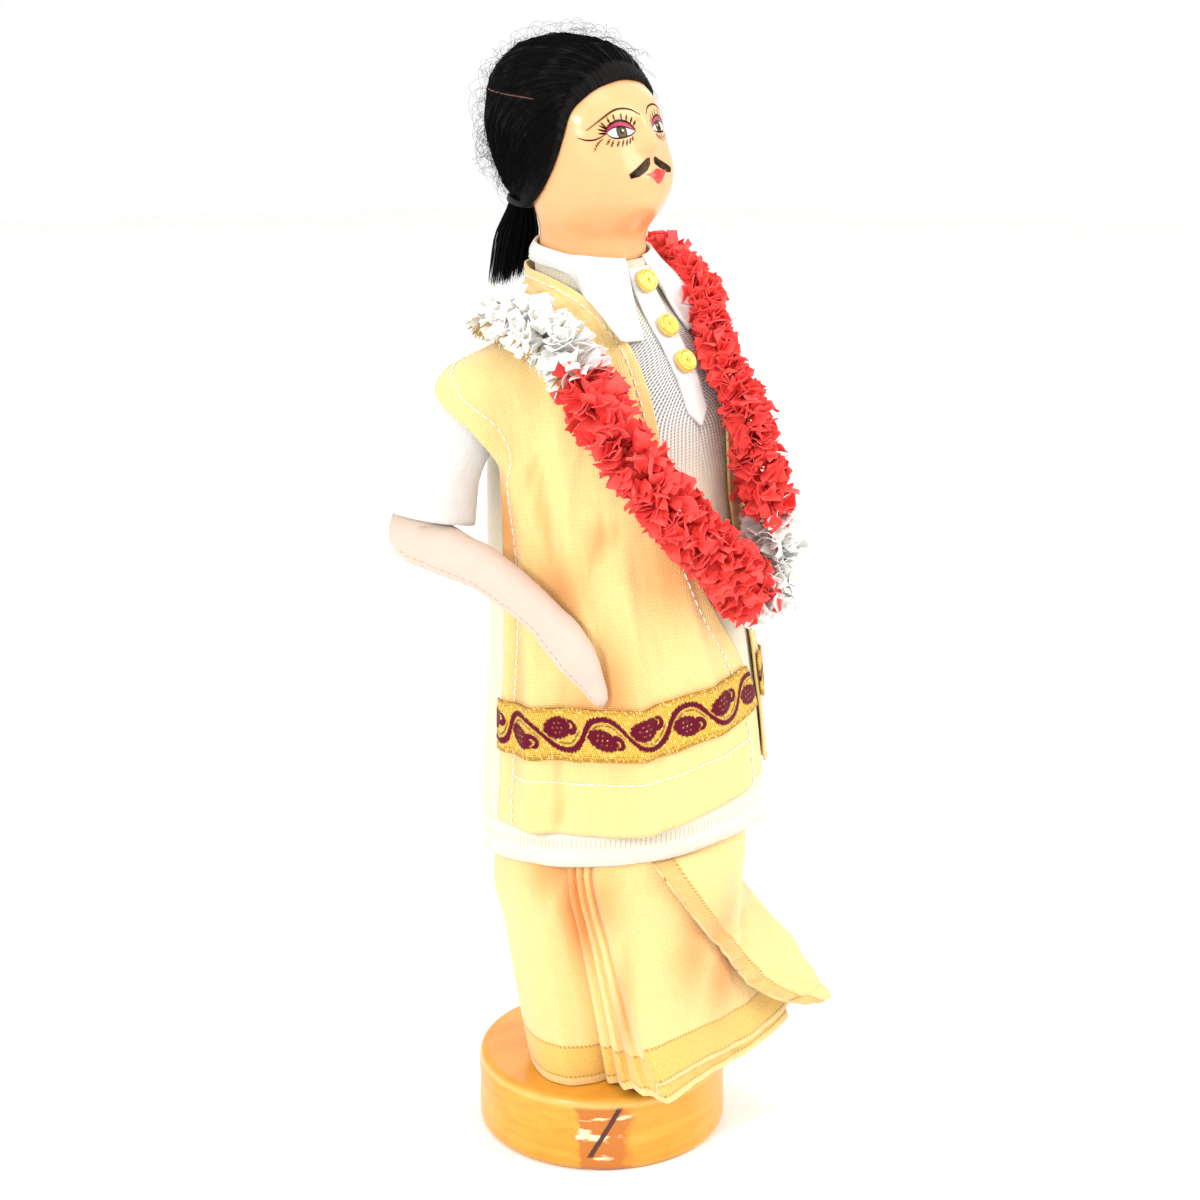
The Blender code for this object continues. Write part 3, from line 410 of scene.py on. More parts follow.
def tube_rings(course, sides, shape):
    """Rings square to a course of points; shape(i, turn) gives the two half sizes at a ring's corner."""
    rings = []
    last = len(course) - 1
    across = None
    for i, point in enumerate(course):
        ahead = (course[min(i + 1, last)] - course[max(i - 1, 0)]).normalized()
        if across is None:
            across = ahead.cross(Vector((0, 0, 1)) if abs(ahead.z) < 0.7 else Vector((0, 1, 0)))
        across = (across - ahead * across.dot(ahead)).normalized()
        up = across.cross(ahead)
        ring = []
        for k in range(sides):
            turn = 2 * math.pi * k / sides
            wide, thick = shape(i, turn)
            ring.append(point + up * wide * math.cos(turn) + across * thick * math.sin(turn))
        rings.append(ring)
    return rings


def array_of(rings):
    """Rows of points as one array of rows, columns and coordinates."""
    return np.array([[tuple(p) for p in ring] for ring in rings])


def along(values, places):
    """Rows of values at fractional places, on a smooth curve through the given rows."""
    last = len(values) - 1
    places = np.clip(places, 0, last)
    low = np.minimum(places.astype(int), last - 1)
    t = (places - low).reshape(-1, *[1] * (values.ndim - 1))
    slopes = np.gradient(values, axis=0)
    start = values[low] * (2 * t**3 - 3 * t**2 + 1) + slopes[low] * (t**3 - 2 * t**2 + t)
    end = values[low + 1] * (3 * t**2 - 2 * t**3) + slopes[low + 1] * (t**3 - t**2)
    return start + end


def finer(grid, rows, columns):
    """A grid of points redrawn smoothly with more rows and columns."""
    tall = along(grid, np.linspace(0, len(grid) - 1, rows))
    wide = along(tall.swapaxes(0, 1), np.linspace(0, grid.shape[1] - 1, columns))
    return wide.swapaxes(0, 1)


def unit(vectors):
    """The same vectors with a length of 1."""
    return vectors / np.maximum(np.linalg.norm(vectors, axis=-1, keepdims=True), 1e-12)


def lengths_along(line):
    """How far along a line of points each of its points lies."""
    steps = np.linalg.norm(np.diff(line, axis=0), axis=1)
    return np.concatenate([[0], np.cumsum(steps)])


def normals_of(grid):
    """The outward normals of a grid of points on the body."""
    down = np.gradient(grid, axis=0)
    over = np.gradient(grid, axis=1)
    normal = unit(np.cross(down, over))
    outward = grid.copy()
    outward[..., 2] = 0
    if (normal * outward).sum() < 0:
        normal = -normal
    return normal


def metre_map(grid, closed=False):
    """Distances in metres across and along a grid, with a last column more where it is closed."""
    full = np.concatenate([grid, grid[:, :1]], axis=1) if closed else grid
    over = np.linalg.norm(np.diff(full, axis=1), axis=2)
    u = np.concatenate([np.zeros((len(full), 1)), np.cumsum(over, axis=1)], axis=1)
    u -= u[:, u.shape[1] // 2 : u.shape[1] // 2 + 1]
    down = np.linalg.norm(np.diff(full, axis=0), axis=2)
    v = np.concatenate([np.zeros((1, full.shape[1])), np.cumsum(down, axis=0)], axis=0)
    return np.stack([u, v], axis=2)


def build_mesh(name, points, faces, face_map=None):
    """A smooth mesh from arrays of points and faces, with a texture map given for every face corner."""
    mesh = bpy.data.meshes.new(name)
    mesh.from_pydata(points.reshape(-1, 3).tolist(), [], faces.tolist())
    if face_map is not None:
        layer = mesh.uv_layers.new(name="UVMap")
        layer.data.foreach_set("uv", face_map.astype(np.float32).ravel())
    mesh.validate()
    mesh.shade_smooth()
    piece = bpy.data.objects.new(name, mesh)
    bpy.context.scene.collection.objects.link(piece)
    return piece


def grid_faces(rows, columns, closed=False):
    i = np.arange(rows - 1)[:, None]
    j = np.arange(columns if closed else columns - 1)[None, :]
    after = (j + 1) % columns
    low, high = i * columns, (i + 1) * columns
    return np.stack([low + j, low + after, high + after, high + j], -1).reshape(-1, 4)


def corner_places(places):
    """A map's place at every corner of a grid's faces."""
    corners = np.stack([places[:-1, :-1], places[:-1, 1:], places[1:, 1:], places[1:, :-1]], 2)
    return corners.reshape(-1, 4, 2)


def grid_piece(name, grid, finish, closed=False, flip=False, texture_map=None):
    """A piece from a grid of points, mapped in metres."""
    rows, columns = grid.shape[:2]
    faces = grid_faces(rows, columns, closed)
    corners = corner_places(metre_map(grid, closed) if texture_map is None else texture_map)
    if flip:
        faces = faces[:, ::-1]
        corners = corners[:, ::-1]
    piece = build_mesh(name, grid, faces, corners)
    piece.data.materials.append(finish)
    return piece


def thicken(piece, thickness, offset=1.0):
    shell = piece.modifiers.new("thickness", "SOLIDIFY")
    shell.thickness = thickness
    shell.offset = offset
    shell.use_even_offset = False
    return piece


def paint_points(piece, name, colours):
    """Colours for every point of a piece, from 0 to 1."""
    layer = piece.data.color_attributes.new(name, "FLOAT_COLOR", "POINT")
    full = np.concatenate([colours, np.ones((len(colours), 1))], axis=1)
    layer.data.foreach_set("color", full.astype(np.float32).ravel())


def tubes(name, courses, radii, sides, finish):
    """Thin round strands as one mesh, from arrays of strands and points with a radius at each point."""
    strands, count = courses.shape[:2]
    ahead = unit(np.gradient(courses, axis=1))
    hint = np.where(np.abs(ahead[..., 2:]) < 0.8, [0.0, 0.0, 1.0], [0.0, 1.0, 0.0])
    across = unit(np.cross(ahead, hint))
    up = np.cross(across, ahead)
    turns = 2 * np.pi * np.arange(sides) / sides
    ring = across[:, :, None] * np.cos(turns)[:, None] + up[:, :, None] * np.sin(turns)[:, None]
    points = courses[:, :, None] + ring * radii[:, :, None, None]
    one = grid_faces(count, sides, True)
    faces = (one[None] + (np.arange(strands) * count * sides)[:, None, None]).reshape(-1, 4)
    v = np.linspace(0, 1, count)
    u = np.arange(sides + 1) / sides
    places = np.stack(np.broadcast_arrays(u[None, :], v[:, None]), 2)
    corners = np.tile(corner_places(places), (strands, 1, 1))
    piece = build_mesh(name, points.reshape(-1, 3), faces[:, ::-1], corners[:, ::-1])
    piece.data.materials.append(finish)
    return piece


def stitch_courses(line, outward, length, gap, lift):
    """Short runs of points along a line, lying on it, one for each stitch."""
    line = np.asarray(line, float)
    gone = lengths_along(line)
    count = max(1, int(gone[-1] / (length + gap)))
    starts = (np.arange(count) + 0.5) * gone[-1] / count - length / 2
    share = np.linspace(0, 1, 6)
    at = starts[:, None] + share[None, :] * length
    points = np.stack([np.interp(at, gone, line[:, k]) for k in range(3)], axis=2)
    rise = np.stack([np.interp(at, gone, np.asarray(outward)[:, k]) for k in range(3)], axis=2)
    height = lift * np.sin(np.pi * share) ** 0.5
    return points + rise * height[None, :, None]


def stitches(name, lines, finish, radius=0.00016, length=0.0019, gap=0.0007):
    """Sewing thread in short stitches along lines; each line is its points and their outward directions."""
    lift = radius * 1.3
    courses = np.concatenate([stitch_courses(points, out, length, gap, lift) for points, out in lines])
    taper = np.array([0.5, 0.95, 1, 1, 0.95, 0.5]) * radius
    return tubes(name, courses, np.tile(taper, (len(courses), 1)), 5, finish)


class Wiring:
    """Short words for joining a material's nodes."""

    def __init__(self, name):
        self.material = bpy.data.materials.new(name)
        self.material.use_nodes = True
        self.tree = self.material.node_tree
        self.shader = self.tree.nodes["Principled BSDF"]
        self.map = None

    def add(self, kind, values=None, **settings):
        """A node with settings, and its inputs set to values or joined to other nodes' outputs."""
        made = self.tree.nodes.new(kind)
        for key, value in settings.items():
            setattr(made, key, value)
        for key, value in (values or {}).items():
            self.put(made.inputs[key], value)
        return made

    def put(self, socket, value):
        if isinstance(value, bpy.types.NodeSocket):
            self.tree.links.new(value, socket)
        elif isinstance(value, bpy.types.Node):
            self.tree.links.new(value.outputs[0], socket)
        else:
            socket.default_value = value

    def set(self, **values):
        """The shader's own inputs, with _ for a space in their names."""
        for key, value in values.items():
            self.put(self.shader.inputs[key.replace("_", " ")], value)

    def uv(self):
        if self.map is None:
            self.map = self.add("ShaderNodeUVMap", uv_map="UVMap")
        return self.map.outputs[0]

    def place(self):
        return self.add("ShaderNodeTexCoord").outputs["Object"]

    def noise(self, scale, detail=3.0, where=None, stretch=None):
        where = self.place() if where is None else where
        if stretch:
            where = self.add("ShaderNodeMapping", {"Vector": where, "Scale": stretch}).outputs[0]
        values = {"Vector": where, "Scale": scale, "Detail": detail}
        return self.add("ShaderNodeTexNoise", values).outputs["Fac"]

    def wave(self, period, direction="X"):
        """Even bands of a period in metres."""
        values = {"Vector": self.uv(), "Scale": math.pi / 10 / period}
        return self.add("ShaderNodeTexWave", values, bands_direction=direction).outputs["Fac"]

    def axes(self, vector):
        """The three parts of a vector."""
        return self.add("ShaderNodeSeparateXYZ", {0: vector}).outputs

    def math(self, operation, first, second=0.0):
        return self.add("ShaderNodeMath", {0: first, 1: second}, operation=operation).outputs[0]

    def times(self, *values):
        """The product of values."""
        return functools.reduce(functools.partial(self.math, "MULTIPLY"), values)

    def spread(self, value, low, high, to_low=0.0, to_high=1.0):
        values = {"Value": value, "From Min": low, "From Max": high, "To Min": to_low, "To Max": to_high}
        return self.add("ShaderNodeMapRange", values).outputs[0]

    def mix(self, share, first, second, blend="MIX"):
        made = self.add("ShaderNodeMix", data_type="RGBA", blend_type=blend)
        for socket, value in ((made.inputs[0], share), (made.inputs[6], first), (made.inputs[7], second)):
            if isinstance(value, tuple) and len(value) == 3:
                value = (*value, 1.0)
            self.put(socket, value)
        return made.outputs[2]

    def relief(self, height, distance, strength):
        values = {"Height": height, "Distance": distance, "Strength": strength}
        return self.add("ShaderNodeBump", values).outputs[0]


def shade(colour, share):
    """A darker or lighter shade of a colour; the share is one number or three."""
    shares = share if isinstance(share, tuple) else (share, share, share)
    return tuple(min(1, c * f) for c, f in zip(colour, shares))


def woven(name, colour, deep, thread=0.00062, sheen=0.25, relief=0.00022, lines=None):
    """Plain woven cloth with a soft sheen; deep is its colour between the threads."""
    wiring = Wiring(name)
    warp = wiring.wave(thread, "X")
    weft = wiring.wave(thread * 0.9, "Y")
    crossing = wiring.times(warp, weft)
    uneven = wiring.noise(90.0, 4.0)
    fine = wiring.noise(1.0, 2.0, wiring.uv(), (1700.0, 160.0, 1.0))
    tone = wiring.mix(wiring.spread(crossing, 0.0, 0.7), deep, colour)
    tone = wiring.mix(wiring.spread(uneven, 0.35, 0.65, 0.0, 0.25), tone, shade(colour, 0.88))
    tone = wiring.mix(wiring.spread(fine, 0.45, 0.7, 0.0, 0.3), tone, shade(colour, 1.12))
    if lines is not None:
        tone = lines(wiring, tone)
    height = wiring.math("ADD", crossing, wiring.times(fine, 0.4))
    wiring.set(
        Base_Color=tone,
        Roughness=0.75,
        Sheen_Weight=sheen,
        Sheen_Roughness=0.4,
        Normal=wiring.relief(height, relief, 0.6),
    )
    return wiring


def with_painted_shade(wiring, tone):
    """Mixes painted shade into the cloth: it turns orange as far as the share stored with its points."""
    share = wiring.add("ShaderNodeVertexColor", layer_name="warmth").outputs[0]
    share = wiring.add("ShaderNodeSeparateColor", {0: share}).outputs[0]
    # The orange of the painted shade
    return wiring.mix(share, tone, (0.66, 0.23, 0.045))


def painted_shade_share(grid, spots, middle_depth):
    """How much painted shade each point of a grid gets, from 0 to 1: more where it lies deep in a hollow,
    with spots of painted shade added.

    A spot is its angle, height, half angle, half height and amount.
    """
    soft = grid.copy()
    for _ in range(60):
        soft[1:-1, 1:-1] = (soft[:-2, 1:-1] + soft[2:, 1:-1] + soft[1:-1, :-2] + soft[1:-1, 2:]) / 4
    depth = ((soft - grid) * normals_of(grid)).sum(axis=2)
    # Painted shade where the cloth lies below its smoothed neighbours
    share = 0.5 * fade(depth, 0.0, middle_depth)
    angle, height = round_body(grid)
    # Spots of painted shade where other parts shade the cloth
    for at, level, half_angle, half_height, amount in spots:
        near = bump((angle - at) / half_angle) * bump((height - level) / half_height)
        share = np.maximum(share, amount * near)
    share = np.minimum(share * 1.35, 0.95)
    return np.repeat(share.reshape(-1, 1), 3, axis=1)


def settings():
    return bpy.context.scene.doll


def colour_of(name):
    return tuple(getattr(settings(), name))


def cream_lines(wiring, tone):
    """Fine golden threads along the tissue cloth, with painted shade mixed in last."""
    gold = wiring.wave(0.0012, "Y")
    tone = wiring.mix(wiring.spread(gold, 0.6, 1.0, 0.0, 0.16), tone, colour_of("zari_gold"))
    return with_painted_shade(wiring, tone)


def cream_cloth(name, lines=cream_lines):
    cream = colour_of("cream")
    return woven(name, cream, shade(cream, (0.93, 0.85, 0.7)), lines=lines, sheen=0.35)


def plain_thread(name, colour, roughness=0.6):
    """Twisted sewing thread."""
    wiring = Wiring(name)
    twist = wiring.wave(0.15, "Y")
    wiring.set(
        Base_Color=wiring.mix(wiring.spread(twist, 0.2, 0.9), shade(colour, 0.8), colour),
        Roughness=roughness,
        Sheen_Weight=0.2,
    )
    return wiring.material


def dress(piece, slot, *nodes):
    """Ties a piece to the part: it rides on the body and stands for nodes. The slot is not used."""
    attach(piece, "root")
    if nodes:
        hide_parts(*nodes)
    return piece


def colour_setting(name, description, default):
    return bpy.props.FloatVectorProperty(
        name=name, description=description, subtype="COLOR", default=default, min=0, max=1
    )


class DollSettings(bpy.types.PropertyGroup):
    """Colours and sizes that change the doll's finish."""

    cream: colour_setting("Cream cloth", "Tissue cloth of the shawl and waist cloth", (0.87, 0.645, 0.285))
    white: colour_setting("White cloth", "Collar, placket and hem", (0.74, 0.725, 0.70))
    kurta: colour_setting("Shirt cloth", "Off-white tissue of the long shirt", (0.76, 0.68, 0.52))
    arm: colour_setting("Arm cloth", "Pale pinkish cotton of the arms", (0.64, 0.50, 0.41))
    skin: colour_setting("Skin paint", "Peach paint of the head", (0.74, 0.385, 0.165))
    zari_gold: colour_setting("Gold thread", "Metal thread in the borders", (0.72, 0.45, 0.07))
    maroon: colour_setting("Maroon thread", "Pattern of the woven ribbon", (0.115, 0.0015, 0.016))
    red_paper: colour_setting("Red paper", "Red florets of the garland", (0.92, 0.062, 0.05))
    white_paper: colour_setting("White paper", "White florets of the garland", (0.93, 0.92, 0.88))
    wood: colour_setting("Wood", "Varnished wood of the base", (0.76, 0.35, 0.033))
    petal: bpy.props.FloatProperty(
        name="Petal size", description="Length of the garland's paper petals",
        default=0.0050, min=0.002, max=0.01, unit="LENGTH",
    )
    strands: bpy.props.IntProperty(
        name="Hair strands", description="Strands combed over the wig", default=1300, min=100, max=4000
    )
    light: bpy.props.FloatProperty(
        name="Light", description="Strength of the studio lights", default=1.0, min=0.1, max=5
    )


class DOLL_OT_stage(bpy.types.Operator):
    """Adds the pale floor, the soft lights and the camera"""

    bl_idname = "doll.stage"
    bl_label = "Stage"

    def execute(self, context):
        stage(settings().light)
        return {"FINISHED"}


class DOLL_OT_base(bpy.types.Operator):
    """Turns the varnished wooden base"""

    bl_idname = "doll.base"
    bl_label = "Base"

    def execute(self, context):
        wooden_base()
        return {"FINISHED"}


class DOLL_OT_head(bpy.types.Operator):
    """Models and paints the head"""

    bl_idname = "doll.head"
    bl_label = "Head"

    def execute(self, context):
        painted_head()
        return {"FINISHED"}


class DOLL_OT_hair(bpy.types.Operator):
    """Combs the wig into its tail and ties it"""

    bl_idname = "doll.hair"
    bl_label = "Hair"

    def execute(self, context):
        wig(settings().strands)
        return {"FINISHED"}


class DOLL_OT_shirt(bpy.types.Operator):
    """Sews the long shirt with its sleeves"""

    bl_idname = "doll.shirt"
    bl_label = "Shirt"

    def execute(self, context):
        long_shirt()
        for side, course in (("right", SLEEVE_RIGHT), ("left", SLEEVE_LEFT)):
            flared_sleeve(side, course)
        return {"FINISHED"}


class DOLL_OT_collar(bpy.types.Operator):
    """Sews on the white collar and the placket"""

    bl_idname = "doll.collar"
    bl_label = "Collar"

    def execute(self, context):
        white_placket()
        white_collar()
        return {"FINISHED"}


class DOLL_OT_buttons(bpy.types.Operator):
    """Sets the gold studs on the placket"""

    bl_idname = "doll.buttons"
    bl_label = "Buttons"

    def execute(self, context):
        for name, height in BUTTON_HEIGHTS.items():
            gold_stud(name, height)
        return {"FINISHED"}


class DOLL_OT_arms(bpy.types.Operator):
    """Stuffs and seams the arms"""

    bl_idname = "doll.arms"
    bl_label = "Arms"

    def execute(self, context):
        stuffed_arm("right", ARM_RIGHT, SLEEVE_RIGHT)
        stuffed_arm("left", ARM_LEFT, SLEEVE_LEFT)
        return {"FINISHED"}


class DOLL_OT_shawl(bpy.types.Operator):
    """Drapes the shawl and sews on its woven ribbons"""

    bl_idname = "doll.shawl"
    bl_label = "Shawl"

    def execute(self, context):
        draped_shawl()
        return {"FINISHED"}


class DOLL_OT_dhoti(bpy.types.Operator):
    """Pleats the waist cloth and lays its loose end"""

    bl_idname = "doll.dhoti"
    bl_label = "Waist cloth"

    def execute(self, context):
        pleated_cloth()
        loose_end()
        return {"FINISHED"}


class DOLL_OT_garland(bpy.types.Operator):
    """Threads the paper flower garland"""

    bl_idname = "doll.garland"
    bl_label = "Garland"

    def execute(self, context):
        paper_garland(settings().petal)
        return {"FINISHED"}


class DOLL_PT_panel(bpy.types.Panel):
    """Lists the doll's settings and its operators"""

    bl_idname = "DOLL_PT_panel"
    bl_label = "Decorative doll"
    bl_space_type = "VIEW_3D"
    bl_region_type = "UI"
    bl_category = "Doll"

    def draw(self, context):
        for name in DollSettings.__annotations__:
            self.layout.prop(context.scene.doll, name)
        for operator in OPERATORS:
            self.layout.operator(operator.bl_idname)


OPERATORS = (
    DOLL_OT_stage,
    DOLL_OT_base,
    DOLL_OT_head,
    DOLL_OT_hair,
    DOLL_OT_shirt,
    DOLL_OT_shawl,
    DOLL_OT_collar,
    DOLL_OT_buttons,
    DOLL_OT_arms,
    DOLL_OT_dhoti,
    DOLL_OT_garland,
)

# The camera, fitted to the base's ellipse: its turn round the doll, its pitch, distance and height
CAMERA_TURN = math.radians(48)
CAMERA_PITCH = math.radians(17.84)
CAMERA_DISTANCE = 0.658
CAMERA_HEIGHT = 0.3647
CAMERA_LENS = 77.55
CAMERA_SHIFT = -0.0017


def stage(strength):
    """A plain pale floor, soft lights on every side and the camera."""
    bpy.context.scene.view_settings.view_transform = "Standard"
    bpy.context.scene.view_settings.look = "None"
    sight = Vector((math.sin(CAMERA_TURN), math.cos(CAMERA_TURN), 0))
    side = Vector((math.cos(CAMERA_TURN), -math.sin(CAMERA_TURN), 0))
    camera = bpy.data.objects.new("camera", bpy.data.cameras.new("camera"))
    bpy.context.scene.collection.objects.link(camera)
    camera.location = -sight * CAMERA_DISTANCE + Vector((0, 0, CAMERA_HEIGHT))
    camera.rotation_euler = (math.pi / 2 - CAMERA_PITCH, 0, -CAMERA_TURN)
    camera.data.lens = CAMERA_LENS
    camera.data.sensor_width = 36
    camera.data.shift_x = CAMERA_SHIFT
    camera.data.clip_start = 0.01
    bpy.context.scene.camera = camera

    steps = 48
    radius = 1.6
    turns = 2 * np.pi * np.arange(steps) / steps
    ring = np.stack([np.cos(turns), np.sin(turns), np.zeros(steps)], 1)
    grid = np.stack([ring * share * radius for share in (0.001, 0.2, 0.45, 0.7, 1.0)])
    pale = Wiring("pale floor")
    grain = pale.noise(60.0, 5.0)
    tone = pale.mix(pale.spread(grain, 0.3, 0.7), (0.90, 0.895, 0.885), (0.93, 0.925, 0.915))
    pale.set(Base_Color=tone, Roughness=0.7, Normal=pale.relief(grain, 0.0004, 0.3))
    floor = grid_piece("floor", grid, pale.material, closed=True)

    target = Vector((0, 0, 0.15))
    # Where each lamp stands: along the sight, to the side and up, then its width, power and warmth
    lamps = [
        ("lamp right", -0.25, 0.85, 0.55, 0.7, 7.0, (1.0, 0.985, 0.96)),
        ("lamp left", -0.45, -0.85, 0.45, 0.7, 1.6, (1.0, 0.99, 0.97)),
        ("lamp top", -0.10, 0.05, 1.15, 0.9, 4.0, (1.0, 1.0, 1.0)),
        ("lamp spark", -0.62, -0.42, 0.36, 0.20, 3.2, (1.0, 1.0, 1.0)),
        ("lamp back", 0.9, 0.2, 0.6, 0.8, 1.6, (1.0, 1.0, 1.0)),
    ]
    for name, ahead, aside, up, width, power, colour in lamps:
        data = bpy.data.lights.new(name, "AREA")
        data.shape = "DISK"
        data.size = width
        data.energy = power * strength
        data.color = colour
        lamp = bpy.data.objects.new(name, data)
        bpy.context.scene.collection.objects.link(lamp)
        lamp.location = target + sight * ahead + side * aside + Vector((0, 0, up))
        lamp.rotation_euler = (target - lamp.location).to_track_quat("-Z", "Y").to_euler()
    world = bpy.data.worlds.new("white room")
    bpy.context.scene.world = world
    world.use_nodes = True
    back = world.node_tree.nodes["Background"]
    back.inputs["Color"].default_value = (1, 1, 1, 1)
    back.inputs["Strength"].default_value = 1.0


def lathe(name, profile, sides, finish, middle_point=Vector((0, 0, 0)), axis=None):
    """A turned piece: profile is (radius, height) from its bottom middle to its top middle."""
    profile = np.array(profile, float)
    turns = 2 * np.pi * np.arange(sides) / sides
    radius, height = profile[:, :1], np.repeat(profile[:, 1:], sides, 1)
    grid = np.stack([radius * np.cos(turns), radius * np.sin(turns), height], 2)
    if axis is not None:
        turn = np.array(axis.to_track_quat("Z", "Y").to_matrix())
        grid = grid @ turn.T
    grid = grid + np.array(middle_point)
    return grid_piece(name, grid, finish, closed=True)


def wooden_base():
    """The turned disc, varnished, with a darker patch and a dark stroke on its side."""
    rounding = 0.0022
    radius = BASE_DIAMETER / 2
    steps = np.linspace(0, math.pi / 2, 9)
    lower = [(radius - rounding + rounding * math.sin(t), rounding - rounding * math.cos(t)) for t in steps]
    side = [
        (radius + 0.00008 * math.sin(9 * z), rounding + z * (BASE_HEIGHT - 2 * rounding))
        for z in np.linspace(0.04, 0.96, 20)
    ]
    inner, shoulder = radius - rounding, BASE_HEIGHT - rounding
    upper = [(inner + rounding * math.cos(t), shoulder + rounding * math.sin(t)) for t in steps]
    shares = np.linspace(0.9, 0.0005, 16)
    top = [(radius * s, BASE_HEIGHT - 0.00003 * (1 + math.cos(s * 60))) for s in shares]
    bottom = [(radius * s, 0.0) for s in np.linspace(0.0005, 0.9, 6)]
    disc = lathe("base_disc", bottom + lower + side + upper + top, 128, varnished_wood())
    dress(disc, "varnished_wood", "base")


def varnished_wood():
    """Honey-coloured varnish over turned wood, with a darker patch, pale streaks and a dark stroke painted
    on by height and place round the side, and a painted highlight along the top edge.
    """
    wood = colour_of("wood")
    wiring = Wiring("varnished wood")
    where = wiring.place()
    rings = wiring.noise(1.0, 5.0, where, (14.0, 90.0, 420.0))
    broad = wiring.noise(38.0, 3.0, where)
    flecks = wiring.noise(1.0, 3.0, where, (900.0, 900.0, 160.0))
    tone = wiring.mix(wiring.spread(rings, 0.35, 0.68), shade(wood, (0.86, 0.74, 0.5)), wood)
    tone = wiring.mix(wiring.spread(broad, 0.4, 0.65, 0.0, 0.4), tone, (0.78, 0.43, 0.08))
    tone = wiring.mix(wiring.spread(flecks, 0.6, 0.75, 0.0, 0.25), tone, (0.42, 0.15, 0.02))
    x, y, z = wiring.axes(where)
    # Distance along the side from the point that faces the camera, positive to the camera's right
    turned, ahead = math.sin(CAMERA_TURN), math.cos(CAMERA_TURN)
    u = wiring.math("ADD", wiring.times(x, ahead), wiring.times(y, -turned))
    front = wiring.math("ADD", wiring.times(x, turned), wiring.times(y, ahead))
    near = wiring.spread(front, -0.030, -0.026, 1.0, 0.0)
    below = wiring.spread(z, 0.0192, 0.0200, 1.0, 0.0)
    ragged = wiring.times(wiring.math("SUBTRACT", wiring.noise(260.0, 4.0, where), 0.5), 0.006)
    edge = wiring.math("ADD", u, ragged)
    left, right = wiring.spread(edge, -0.0071, -0.0062), wiring.spread(edge, 0.0058, 0.0092, 1.0, 0.0)
    # A darker patch on the side facing the camera, with pale streaks and a dark stroke in it
    patch = wiring.times(left, right, near, below)
    tone = wiring.mix(wiring.times(patch, 0.85), tone, (0.48, 0.13, 0.015))
    streaks = wiring.spread(wiring.noise(1.0, 4.0, where, (95.0, 95.0, 330.0)), 0.53, 0.6)
    tone = wiring.mix(wiring.times(streaks, patch), tone, (0.90, 0.76, 0.48))
    slant = wiring.math("ADD", u, wiring.times(wiring.math("SUBTRACT", z, 0.0105), -0.55))
    stroke = wiring.math("ABSOLUTE", wiring.math("ADD", slant, wiring.times(ragged, 0.12)))
    stroke = wiring.times(wiring.spread(stroke, 0.00062, 0.0010, 1.0, 0.0), patch)
    stroke = wiring.times(stroke, wiring.spread(z, 0.0040, 0.0048))
    tone = wiring.mix(stroke, tone, (0.075, 0.018, 0.012))
    # Painted highlight: a lighter band along the rounded top edge
    rim = wiring.times(wiring.spread(z, 0.0188, 0.0198), wiring.spread(z, 0.0212, 0.0202))
    tone = wiring.mix(wiring.times(rim, 0.45), tone, (0.85, 0.58, 0.20))
    wiring.set(
        Base_Color=tone,
        Roughness=0.32,
        Coat_Weight=0.2,
        Coat_Roughness=0.12,
        Specular_IOR_Level=0.3,
        Normal=wiring.relief(rings, 0.0002, 0.25),
    )
    return wiring.material


def head_grid(columns, heights):
    """Points of the painted head: their places, with every column's angle and every row's height."""
    even = 360 * np.arange(columns) / columns
    even = np.where(even > 180, even - 360, even)
    angles = even - 40 * np.sin(np.radians(even))
    rows = np.array([smooth(HEAD_SECTIONS, height) for height in heights])
    turn = np.radians(angles)[None, :]
    across = np.abs(np.sin(turn)) / rows[:, :1]
    ahead = np.abs(np.cos(turn)) / rows[:, 1:2]
    radius = (across**SECTION_POWER + ahead**SECTION_POWER) ** (-1 / SECTION_POWER)
    level = np.array(heights)[:, None]
    for at, height, out, half_angle, half_height in FACE_FORMS:
        radius = radius + out * bump((angles - at) / half_angle) * bump((level - height) / half_height)
    for side in (-1, 1):
        radius = radius + 0.22 * bump((angles - side * 9) / 3.2) * bump((level - 253.2) / 0.9)
        radius = radius + 0.30 * bump((angles - side * 23) / 9) * bump((level - 257) / 2.0)
    radius = radius - 0.25 * bump(angles / 12) * bump((level - 242.6) / 0.9)
    level = np.broadcast_to(level, radius.shape)
    points = np.stack([-radius * np.sin(turn), -rows[:, 2:3] - radius * np.cos(turn), level], 2)
    return points * UNIT + np.array(LIFT), angles, np.array(heights)


def stroke_mask(places, line, width, soft=0.14):
    """How far each place is covered by a brush stroke along a line, width in units, thin at both ends."""
    best = np.full(len(places), 9.0)
    line = np.array(line, float)
    fine = along(line, np.linspace(0, len(line) - 1, 8 * len(line))) if len(line) > 2 else line
    total = len(fine) - 1
    for k in range(total):
        start, end = fine[k], fine[k + 1]
        step = end - start
        t = np.clip(((places - start) @ step) / max(step @ step, 1e-9), 0, 1)
        share = (k + t) / total
        half = width / 2 * (0.35 + 0.65 * np.sin(np.pi * np.clip(share * 0.86 + 0.07, 0, 1)))
        gap = np.linalg.norm(places - start - t[:, None] * step, axis=1) - half
        best = np.minimum(best, gap)
    return 1 - fade(best, -soft / 2, soft / 2)


